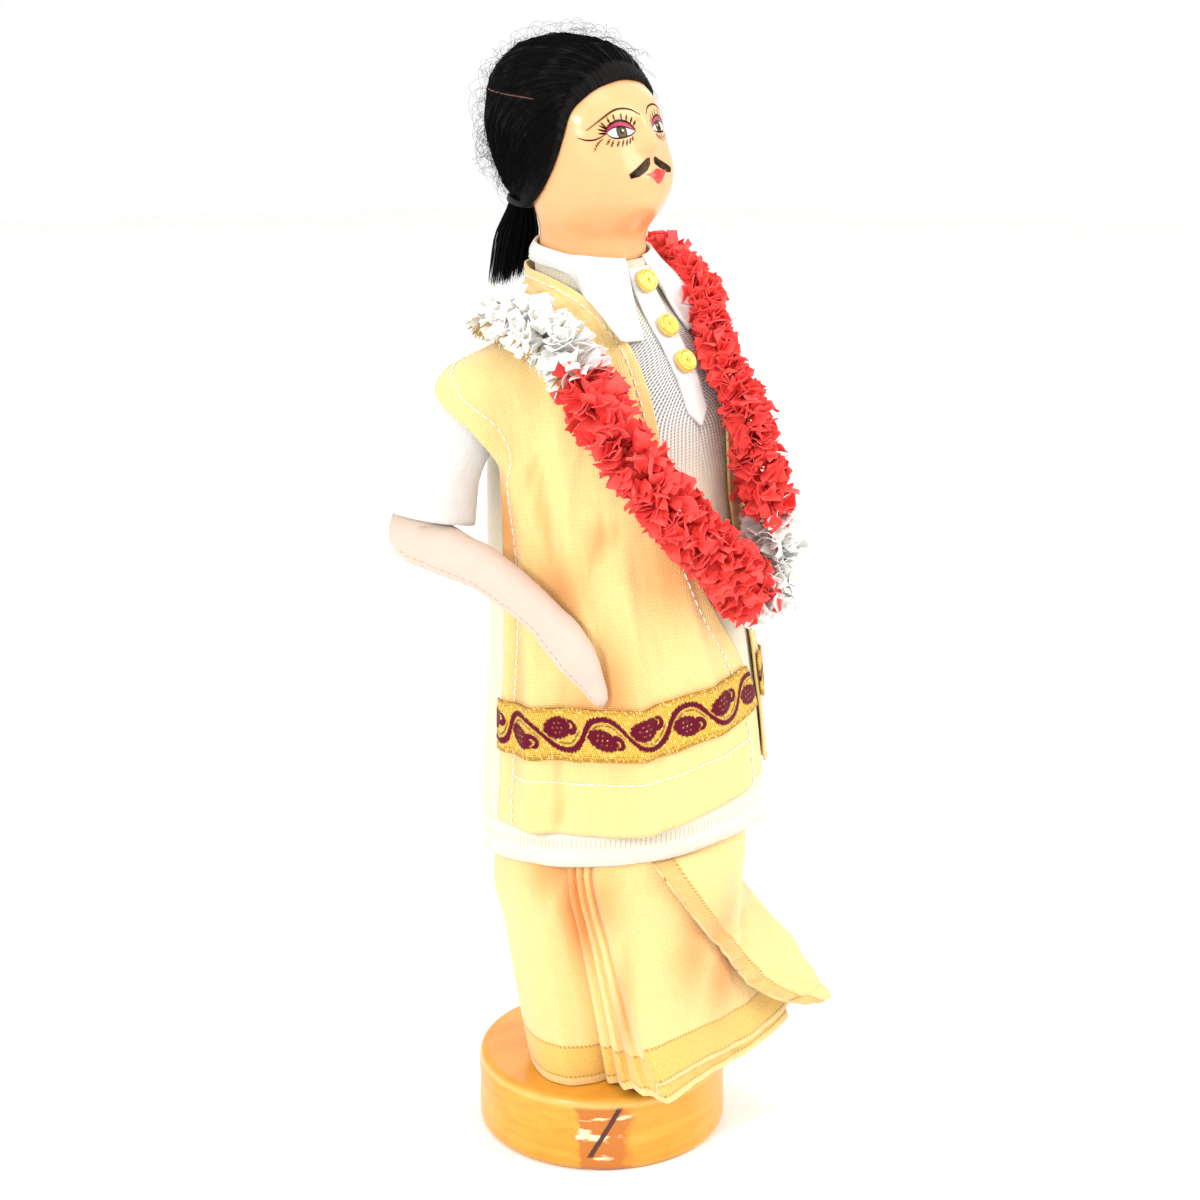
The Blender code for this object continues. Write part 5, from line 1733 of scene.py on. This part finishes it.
# Spots of painted shade on the shawl, the waist cloth and its loose end
SHAWL_SHADE_SPOTS = [
    (50, 118, 9, 16, 0.55), (62, 112, 12, 9, 0.6), (72, 146, 12, 9, 0.5), (100, 160, 8, 14, 0.55),
    (94, 118, 6, 26, 0.35), (27, 150, 12, 12, 0.45), (33, 186, 8, 12, 0.3), (-75, 130, 12, 40, 0.4),
]
DHOTI_SHADE_SPOTS = [
    (72, 56, 9, 16, 0.9), (58, 62, 10, 10, 0.5), (86, 66, 10, 8, 0.5), (16, 44, 12, 13, 0.5),
    (-2, 34, 12, 12, 0.6), (48, 30, 4, 20, 0.45), (-70, 50, 30, 20, 0.4),
]
FLAP_SHADE_SPOTS = [
    (2, 52, 10, 10, 0.35), (-34, 60, 12, 12, 0.3),
]
# Ridges of the shawl's right half: their course as angle and height, how high and how wide on each side
SHAWL_RIDGES = [
    (((46, 150), (41, 120), (39, 80)), 3.2, 15, 3.2),
    (((98, 196), (88, 158), (85, 120), (84, 80)), 2.1, 5, 5),
    (((72, 186), (66, 150), (56, 122)), 1.9, 5, 7),
    (((30, 172), (18, 140), (6, 112)), 1.3, 7, 4),
    (((110, 180), (100, 146), (102, 110)), 1.4, 4, 4),
    (((64, 112), (66, 96), (64, 78)), 1.1, 6, 6),
]


def ridge_lift(angle, height):
    """How far the shawl stands off on its ridges, in units, at arrays of angles and heights."""
    total = np.zeros_like(angle)
    for course, amount, before, after in SHAWL_RIDGES:
        course = np.array(course, float)
        order = np.argsort(course[:, 1])
        at = np.interp(height, course[order, 1], course[order, 0])
        away = angle - at
        away = np.where(away > 0, away / before, away / after)
        ends = fade(course[0, 1] + 14 - height, 0, 22) * fade(height, course[-1, 1] - 22, course[-1, 1] - 2)
        total = np.maximum(total, amount * np.exp(-np.abs(away) ** 1.6) * ends)
    return total


def draped_shawl():
    """The shawl with its soft folds, stitch lines and woven ribbons."""
    rows, columns = 220, 84
    grid = finer(array_of(shawl_rings()), rows, columns)
    out = normals_of(grid)
    share = np.linspace(0, 1, columns)[None, :]
    row = np.linspace(0, 1, rows)[:, None]
    hang = np.clip(np.abs(row - 0.5) * 2 - 0.45, 0, 1)
    folds = 0.55 * ripple(share + 0.08 * np.sin(row * 9), 41, (3, 5, 7)) * hang * 1.6
    creases = 0.16 * ripple(share + row * 1.7, 42, (6, 9, 14))
    ridges = ridge_lift(*round_body(grid))
    grid = grid + out * ((np.maximum(folds, -0.25) * 0.6 + creases + ridges + 0.15) * UNIT)[..., None]
    wiring = cream_cloth("shawl cloth")
    shawl = thicken(grid_piece("shawl_cloth", grid, wiring.material, flip=facing_in(grid)), SHAWL_CLOTH)
    # Painted shade in the shawl's folds and under the arm, sleeves and garland
    paint_points(shawl, "warmth", painted_shade_share(grid, SHAWL_SHADE_SPOTS, 0.0009))
    dress(shawl, "cream_cloth", "shawl")
    top = grid + out * SHAWL_CLOTH
    inset = slice(7, columns - 7)
    lines = [(top[:, j], out[:, j]) for j in (7, columns - 8)]
    lines += [(top[i, inset], out[i, inset]) for i in (10, rows - 11)]
    white = plain_thread("shawl stitch", (0.97, 0.95, 0.88))
    thread = stitches("shawl_stitches", lines, white, 0.00019, 0.0021, 0.0006)
    dress(thread, "cream_cloth")
    for side, cloth in (("right", grid), ("left", grid[::-1])):
        woven_ribbon(side, cloth)


def facing_in(grid):
    """Whether a grid's own faces would look towards the body."""
    normal = np.cross(np.gradient(grid, axis=1), np.gradient(grid, axis=0))
    outward = grid.copy()
    outward[..., 2] = 0
    return bool((normal * outward).sum() < 0)


def woven_ribbon(side, cloth):
    """The ribbon across one end of the shawl: gold ground with a maroon vine and paisleys."""
    rows, columns = 54, 400 if side == "right" else 226
    out = normals_of(cloth)
    lines = []
    for s in np.linspace(0, 1, 14):
        line, rise = line_above_hem(cloth, out, BORDER_FROM_HEM + BORDER_WIDTH * s)
        lines.append(line + rise * 0.0012)
    grid = finer(np.array(lines), rows, columns)
    places = metre_map(grid)
    u = (places[..., 0] - places[..., 0].min()).ravel()
    v = (places[..., 1] / places[..., 1].max() * BORDER_WIDTH).ravel()
    pattern = ribbon_pattern(u * 1000, v * 1000)
    out = normals_of(grid)
    grid = grid + out * (pattern["raised"].reshape(rows, columns) * 0.00012)[..., None]
    wiring = Wiring("woven ribbon " + side)
    paint = wiring.add("ShaderNodeVertexColor", layer_name="weave").outputs[0]
    ground = wiring.add("ShaderNodeSeparateColor", {0: paint}).outputs[1]
    ground = wiring.spread(ground, 0.06, 0.20)
    warp = wiring.wave(0.00052, "X")
    weft = wiring.wave(0.00046, "Y")
    crossing = wiring.times(warp, weft)
    glitter = wiring.noise(1.0, 2.0, wiring.uv(), (1500.0, 900.0, 1.0))
    # Painted highlight: pale yellow specks of sparkle laid on the gold ground
    painted_sparkle = wiring.times(wiring.spread(glitter, 0.52, 0.66), ground)
    tone = wiring.mix(painted_sparkle, paint, (1.0, 0.83, 0.30))
    dark = wiring.times(wiring.spread(crossing, 0.22, 0.0), ground)
    tone = wiring.mix(wiring.times(dark, 0.8), tone, (0.30, 0.13, 0.01))
    height = wiring.math("ADD", crossing, wiring.times(glitter, 0.5))
    relief = wiring.relief(height, 0.0002, 0.7)
    wiring.set(Base_Color=tone, Roughness=0.5, Specular_IOR_Level=0.1, Normal=relief)
    ribbon = grid_piece("ribbon_" + side, grid, wiring.material, flip=facing_in(grid))
    paint_points(ribbon, "weave", pattern["colours"])
    thicken(ribbon, RIBBON_CLOTH)
    dress(ribbon, "woven_ribbon", "shawl_border_" + side)


def ribbon_pattern(u, v):
    """Colours and relief of a vine with paisleys, at places in millimetres along and across the ribbon."""
    width = BORDER_WIDTH * 1000
    gold = np.array([0.80, 0.52, 0.07])
    edge_gold = np.array([0.46, 0.22, 0.015])
    maroon = np.array(colour_of("maroon"))
    colours = np.tile(gold, (len(u), 1))
    raised = np.zeros(len(u))

    def cover(mask, colour, height=0.0):
        laid_on(colours, mask, colour)
        raised[:] = np.maximum(raised, mask * height)

    inset = np.minimum(v, width - v)
    saw = 0.5 * np.abs(2 * np.mod(u / 1.3, 1) - 1)
    cover((1 - fade(inset, 1.1 + saw, 1.3 + saw)) * 0.9, edge_gold, 0.4)
    cover(bump((inset - 1.0) / 0.13) * 0.7, np.array([0.90, 0.66, 0.16]), 0.5)
    # The vine is one long wave; each paisley sits in one of its bends
    period = 24.4
    phase = 2 * np.pi * (u - u.max() / 2) / period
    swing = np.sin(phase) + 0.06 * np.sin(3 * phase)
    middle_line = width / 2 + 4.1 * swing
    slope = 4.1 * 2 * np.pi / period * (np.cos(phase) + 0.18 * np.cos(3 * phase))
    from_vine = (v - middle_line) / np.sqrt(1 + slope**2)
    leaf = 0.30 * np.abs(np.sin(np.pi * u / 1.1)) * (np.abs(swing) > 0.35)
    outer = from_vine * np.sign(swing)
    cover((1 - fade(outer, 0.62 + leaf, 0.78 + leaf)) * fade(outer, -0.55, -0.42), maroon, 1.0)
    cover(bump((outer + 1.35) / 0.20) * fade(np.abs(swing), 0.1, 0.4), maroon, 0.8)
    for bend in range(-8, 9):
        way = -1 if bend % 2 == 0 else 1
        centre = u.max() / 2 + (bend + 0.5) * period / 2
        near = np.abs(u - centre) < 6.5
        x = centre - u[near]
        y = (v[near] - width / 2 - way * 1.55) * way
        around = np.arctan2(y, x + 1.0)
        teeth = 0.10 * np.abs(np.sin(7 * around))
        body = np.hypot((x + 1.1) / 4.1, (y - 0.15 * x) / 2.8) - 0.92 - teeth
        curl = np.arctan2(y - 0.5, x - 2.9)
        narrow = 1 - 0.55 * np.clip((curl + 2.6) / 4.6, 0, 1)
        hook = np.abs(np.hypot(x - 2.9, y - 0.5) - 1.35) - 0.8 * narrow
        hook = np.where((curl > -2.6) & (curl < 1.9), hook, 1.0)
        mask = 1 - fade(np.minimum(body, hook), -0.04, 0.08)
        part = colours[near]
        laid_on(part, mask, maroon)
        dots = bump(np.sin(x * 2.3 + y) / 0.36) * bump(np.sin(y * 2.5 + 0.6) / 0.36) * (body < -0.42)
        laid_on(part, dots, (0.80, 0.50, 0.10), 0.75)
        colours[near] = part
        raised[near] = np.maximum(raised[near], mask)
    return {"colours": np.clip(colours, 0, 1), "raised": raised}


def dhoti_waist(angle, height):
    """How far out the waist cloth may stand inside the kurta's skirt."""
    return kurta_radius(angle, max(height, KURTA_HEM_BACK)) - KURTA_WALL - 2.5 * CLEARANCE


def dhoti_radius(angle, out, groove, level, height):
    """How far out the dhoti is: from its hem's distance at level 0 to the waist's at level 1."""
    waist = dhoti_waist(angle, height) - groove * UNIT
    flare = (1 - level) ** 1.45
    straight = waist + (out * UNIT - waist) * flare
    below_kurta = (kurta_hem(angle) - height) / UNIT
    bulge = 1.3 * bump((below_kurta - 12) / 7)
    here = (angle + 180) % 360 - 180
    pinch = 8.4 * bump((height / UNIT - 58) / 15) * bump((here + 48) / 30)
    return straight + (bulge - pinch) * UNIT


def dhoti_hem(share):
    """The hem's table at a share of the way round, with more steps where the pleats are."""
    rows = DHOTI_HEM + [(180, *DHOTI_HEM[0][1:3], 180, 0)]
    place = share * (len(rows) - 1)
    low = int(place)
    first, second = rows[low], rows[min(low + 1, len(rows) - 1)]
    return [a + (b - a) * (place - low) for a, b in zip(first, second)]


def zari_hem(wiring, tone):
    """A golden band above the hem between two lines of darker stitches."""
    height = wiring.axes(wiring.uv())[1]
    inside = wiring.times(wiring.spread(height, 0.0028, 0.0032), wiring.spread(height, 0.0122, 0.0118))
    ribs = wiring.wave(0.0009, "X")
    glitter = wiring.noise(1.0, 3.0, wiring.uv(), (2400.0, 1400.0, 1.0))
    gold = wiring.mix(wiring.spread(glitter, 0.4, 0.7), (0.68, 0.39, 0.05), (0.84, 0.57, 0.14))
    gold = wiring.mix(wiring.spread(ribs, 0.0, 0.5, 0.3, 0.0), gold, (0.66, 0.38, 0.06))
    tone = wiring.mix(wiring.times(inside, 0.85), tone, gold)
    tone = cream_lines(wiring, tone)
    for low, high in ((0.0022, 0.0033), (0.0118, 0.0130)):
        above = wiring.spread(height, low, low + 0.0003)
        below = wiring.spread(height, high, high - 0.0003)
        teeth = wiring.spread(wiring.wave(0.0011, "X"), 0.25, 0.6, 0.45, 1.0)
        tone = wiring.mix(wiring.times(above, below, teeth, 0.9), tone, (0.46, 0.24, 0.02))
    return tone


def pleated_cloth():
    """The waist cloth: crisp pleats gathered at the waist that open out to a golden hem."""
    rows, columns = 78, 336
    levels = np.linspace(0, 1, rows) ** 1.55
    grid = np.zeros((rows, columns, 3))
    flutter = ripple(np.arange(columns) / columns, 51, (9, 14, 22, 31))
    doubled = np.zeros(columns)
    upper_hem = np.zeros(columns)
    for i, level in enumerate(levels):
        for column in range(columns):
            angle, out, low, top_angle, groove = dhoti_hem(column / columns)
            height = (low + (DHOTI_TOP / UNIT - low) * level) * UNIT
            height = max(height, CLEARANCE)
            here = angle + (top_angle - angle) * min(1, level * 1.25) ** 0.9
            soft = 0.28 * flutter[column] * (1 - level) * UNIT
            # The front face is double: its upper layer ends a little above the hem
            doubled[column] = fade(angle, -47, -43) * (1 - fade(angle, 31.2, 33))
            upper_hem[column] = 5.8 - 1.8 * fade(-angle, -20, 45)
            below = 1 - fade(height / UNIT - low, upper_hem[column] - 0.25, upper_hem[column] + 0.25)
            soft -= 1.5 * doubled[column] * below * UNIT
            far = dhoti_radius(here, out, groove, level, height) + soft - 0.0002
            grid[i, column] = spot(here, far, height)
    for _ in range(2):
        around = (np.roll(grid, 1, axis=1) + np.roll(grid, -1, axis=1)) / 2
        grid = grid * 0.5 + around * 0.5
    wiring = cream_cloth("waist cloth", zari_hem)
    places = metre_map(grid, True)
    drop = np.append(doubled * upper_hem, doubled[0] * upper_hem[0])[None, :] * UNIT
    places[..., 1] -= np.where(places[..., 1] > drop * 0.98, drop, -0.0006)
    cloth = grid_piece("dhoti_cloth", grid, wiring.material, closed=True, texture_map=places)
    # Painted shade between the pleats and under the loose end
    paint_points(cloth, "warmth", painted_shade_share(grid, DHOTI_SHADE_SPOTS, 0.0016))
    thicken(cloth, SHIRT_CLOTH, -1)
    dress(cloth, "cream_cloth", "dhoti")


def flap_flare(angle, height):
    """How far the flap stands out from the pleats, most at its point."""
    fall = max(0, FLAP_FLARE_TOP - height / UNIT)
    return 0.127 * fall**1.25 * bump((angle - FLAP_POINT_ANGLE) / FLAP_SPREAD) * UNIT


def flap_rings():
    """The loose end's inner side, lying on the pleats."""
    surfaces = [surface_of(bpy.data.objects["dhoti_cloth"])]
    rows, columns = 11, 10
    edges = numbered(FLAP_EDGES)
    rings = []
    for i in range(rows + 1):
        free_angle, free_height, back_angle, back_height = smooth(edges, i / rows)
        ring = []
        for j in range(columns):
            share = j / (columns - 1)
            angle = free_angle + (back_angle - free_angle) * share
            height = (free_height + (back_height - free_height) * share) * UNIT
            floor = reach(surfaces, angle, height) + CLEARANCE + FACET_ROOM
            ring.append(spot(angle, floor + flap_flare(angle, height), height))
        rings.append(ring)
    lift_off(rings, surfaces, CLEARANCE + FACET_ROOM)
    return rings


def zari_edge(wiring, tone):
    """A golden border along the loose end's free edge, with a line of darker stitches inside it."""
    across = wiring.axes(wiring.uv())[0]
    glitter = wiring.noise(1.0, 3.0, wiring.uv(), (2400.0, 1400.0, 1.0))
    band = wiring.spread(across, 0.0050, 0.0056, 1.0, 0.0)
    gold = wiring.mix(wiring.spread(glitter, 0.4, 0.7), (0.60, 0.33, 0.09), (0.76, 0.48, 0.16))
    tone = wiring.mix(wiring.times(band, 0.75), tone, gold)
    line = wiring.times(wiring.spread(across, 0.0050, 0.0053), wiring.spread(across, 0.0064, 0.0060))
    teeth = wiring.spread(wiring.wave(0.0013, "Y"), 0.3, 0.6, 0.3, 1.0)
    tone = wiring.mix(wiring.times(line, teeth, 0.9), tone, (0.46, 0.24, 0.02))
    return cream_lines(wiring, tone)


def tucked(grid):
    """Keeps the top of the loose end inside the shirt's skirt."""
    for place in np.ndindex(grid.shape[:2]):
        x, y, z = grid[place]
        height = z - BASE_HEIGHT
        ahead = -y - middle(height)
        angle = math.degrees(math.atan2(-x, ahead))
        over = fade(height, kurta_hem(angle) - 4 * UNIT, kurta_hem(angle) - 0.5 * UNIT)
        if over > 0:
            out = math.hypot(x, ahead)
            room = kurta_radius(angle, max(height, KURTA_HEM_BACK)) - 0.00185
            inside = out + (min(out, room) - out) * over
            grid[place] = spot(angle, inside, height)


def loose_end():
    """The loose end of the waist cloth, with a wavy rolled free edge."""
    rows, columns = 110, 90
    grid = finer(array_of(flap_rings()), rows, columns)
    out = normals_of(grid)
    share = np.linspace(0, 1, columns)[None, :]
    row = np.linspace(0, 1, rows)[:, None]
    tucked(grid)
    edge = bump(share / 0.10) * fade(row, 0.1, 0.2)
    waves = 0.75 * ripple(row, 61, (7, 11, 16)) * edge + 0.25 * ripple(share + row, 62, (4, 7))
    grid = grid + out * ((waves + 0.35) * fade(row, 0.1, 0.2) * UNIT)[..., None]
    wiring = cream_cloth("loose end cloth", zari_edge)
    places = metre_map(grid)
    places[..., 0] -= places[:, :1, 0]
    flap = grid_piece("flap_cloth", grid, wiring.material, flip=facing_in(grid), texture_map=places)
    # Painted shade on the loose end
    paint_points(flap, "warmth", painted_shade_share(grid, FLAP_SHADE_SPOTS, 0.0012))
    thicken(flap, SHAWL_CLOTH)
    dress(flap, "cream_cloth", "dhoti_flap")
    roll = grid[:, 0] + out[:, 0] * 0.0004
    gold = plain_thread("rolled edge", (0.74, 0.50, 0.21), 0.8)
    hem = tubes("flap_rolled_edge", roll[None], np.full((1, rows), ROLLED_EDGE), 8, gold)
    dress(hem, "cream_cloth")


def garland_points():
    """The garland's middle as in the solids: points, their angles round the body and half thicknesses."""
    surfaces = solids(
        "kurta", "shawl", "collar", "head", "placket", "sleeve_right", "sleeve_left", *BUTTON_HEIGHTS
    )
    table = numbered(GARLAND_COURSE)
    count = 76
    rows = [smooth(table, i / count) for i in range(count + 1)]
    angles = [row[0] for row in rows]
    sizes = [row[2] * GARLAND_DIAMETER / 2 for row in rows]
    points = []
    for (angle, height, _), size in zip(rows, sizes):
        out = reach(surfaces, angle, height * UNIT) + size
        points.append(spot(angle, out, height * UNIT))
    for _ in range(3):
        points = [pushed_out(surfaces, point, size + CLEARANCE) for point, size in zip(points, sizes)]
        points = [
            (points[max(i - 1, 0)] + points[i] * 2 + points[min(i + 1, count)]) / 4
            for i in range(count + 1)
        ]
    points = [pushed_out(surfaces, point, size + CLEARANCE) for point, size in zip(points, sizes)]
    return np.array([tuple(p) for p in points]), np.array(angles), np.array(sizes)


def paper(name, colour, fleck):
    """Thin coloured paper with a little fibre in it and worn edges."""
    wiring = Wiring(name)
    cloudy = wiring.noise(420.0, 4.0)
    fibre = wiring.noise(2600.0, 2.0)
    tone = wiring.mix(wiring.spread(cloudy, 0.35, 0.7), shade(colour, 0.86), colour)
    tone = wiring.mix(wiring.spread(fibre, 0.6, 0.75, 0.0, 0.35), tone, fleck)
    wiring.set(Base_Color=tone, Roughness=0.62, Sheen_Weight=0.1, Normal=wiring.relief(cloudy, 0.0003, 0.4))
    return wiring.material


def paper_garland(petal):
    """Cut paper petals crowded round a thread, in red and white sections."""
    points, angles, sizes = garland_points()
    red = paper("red paper", colour_of("red_paper"), (0.95, 0.22, 0.18))
    white = paper("white paper", colour_of("white_paper"), (1.0, 0.99, 0.95))
    rng = np.random.default_rng(77)
    for name, first, last in GARLAND_PARTS:
        start = int(np.argmin(np.abs(angles - first)))
        end = int(np.argmin(np.abs(angles - last)))
        pieces = petals(points[start : end + 1], sizes[start : end + 1], petal, rng)
        finish = red if name in ("garland_right", "garland_left") else white
        flowers = build_mesh(name + "_petals", pieces[0], pieces[1], pieces[2])
        flowers.data.materials.append(finish)
        flowers.data.shade_flat()
        thicken(flowers, PAPER, 0)
        slot = "red_paper" if finish is red else "white_paper"
        dress(flowers, slot, name)
        if name == "garland_nape":
            dress(brown_tips(points[start : end + 1], sizes[start : end + 1], rng), "white_paper")


def brown_tips(course, sizes, rng):
    """Short brown slivers that poke out under the white flowers."""
    count = 90
    at = rng.uniform(0, len(course) - 1, count)
    centre = along(course, at)
    outward = centre.copy()
    outward[:, 2] = 0
    outward = unit(outward)
    lean = rng.uniform(0.35, 1.0, count)[:, None]
    way = outward * (1 - 0.75 * lean) - np.array([0, 0, 1.0]) * lean
    way = unit(way + rng.normal(0, 0.18, (count, 3)))
    size = np.interp(at, np.arange(len(sizes)), sizes)[:, None, None]
    steps = np.linspace(0.55, 1.22, 5)[None, :, None]
    courses = centre[:, None] + way[:, None] * size * steps
    courses += rng.normal(0, 0.0001, courses.shape)
    radii = np.tile([0.0004, 0.0004, 0.00034, 0.0002, 0.00006], (count, 1))
    return tubes("garland_brown_tips", courses, radii, 5, plain_thread("brown tips", (0.42, 0.24, 0.02)))


def petals(course, sizes, length, rng):
    """Bent paper petals standing round a course: their points, faces and texture map."""
    gone = lengths_along(course)
    rows, columns = 4, 4
    count = int(gone[-1] / 0.000115)
    at = np.sort(rng.uniform(0, gone[-1], count))
    points = np.stack([np.interp(at, gone, course[:, k]) for k in range(3)], 1)
    ahead = np.stack([np.interp(at, gone, np.gradient(course, axis=0)[:, k]) for k in range(3)], 1)
    ahead = unit(ahead)
    size = np.interp(at, gone, sizes) * (1.02 + 0.17 * ripple(at / 0.09, 70, (5, 8, 11)))
    side = unit(np.cross(ahead, [0.3, 0.2, 0.93]))
    up = np.cross(side, ahead)
    turn = rng.uniform(0, 2 * np.pi, count)
    outward = side * np.cos(turn)[:, None] + up * np.sin(turn)[:, None]
    lean = rng.normal(0, 0.45, count)[:, None]
    outward = unit(outward + ahead * lean)
    spin = rng.normal(0, 0.7, count)[:, None]
    across = unit(np.cross(outward, ahead))
    across = across * np.cos(spin) + np.cross(outward, across) * np.sin(spin)
    normal = np.cross(outward, across)
    wide = length * rng.uniform(0.30, 0.62, count)
    tall = np.minimum(length * rng.uniform(0.75, 1.2, count), size * 0.8)
    top = size * rng.uniform(0.86, 1.06, count)
    curl = rng.normal(0, 0.55, count)
    fold = rng.normal(0, 0.5, count)
    skew = rng.normal(0, 0.3, count)
    grids = np.zeros((count, rows, columns, 3))
    for i in range(rows):
        s = i / (rows - 1)
        for j in range(columns):
            t = j / (columns - 1) * 2 - 1
            shape = (0.55 + 0.45 * s) * (1 - 0.12 * (i == rows - 1) * abs(t))
            over = across * (wide * t * shape + skew * wide * s)[:, None]
            ragged = rng.normal(0, 0.06, count) * (i == rows - 1)
            rise = outward * (top - tall * (1 - s) + tall * ragged)[:, None]
            bend = normal * (curl * s * s * tall * 0.6 + fold * abs(t) * wide * 0.6)[:, None]
            grids[:, i, j] = points + rise + over + bend
    one = grid_faces(rows, columns)
    faces = (one[None] + (np.arange(count) * rows * columns)[:, None, None]).reshape(-1, 4)
    places = np.stack(np.meshgrid(np.linspace(0, 1, columns), np.linspace(0, 1, rows)), 2)
    return grids.reshape(-1, 3), faces, np.tile(corner_places(places), (count, 1, 1)) * length


CLASSES = (DollSettings, *OPERATORS, DOLL_PT_panel)


def register():
    for made in CLASSES:
        bpy.utils.register_class(made)
    bpy.types.Scene.doll = bpy.props.PointerProperty(type=DollSettings)


def unregister():
    del bpy.types.Scene.doll
    for made in reversed(CLASSES):
        bpy.utils.unregister_class(made)


def main():
    register()
    bpy.ops.doll.stage()
    bpy.ops.doll.base()
    bpy.ops.doll.head()
    bpy.ops.doll.hair()
    bpy.ops.doll.shirt()
    bpy.ops.doll.shawl()
    bpy.ops.doll.collar()
    bpy.ops.doll.buttons()
    bpy.ops.doll.arms()
    bpy.ops.doll.dhoti()
    bpy.ops.doll.garland()


if __name__ == "__main__":
    main()
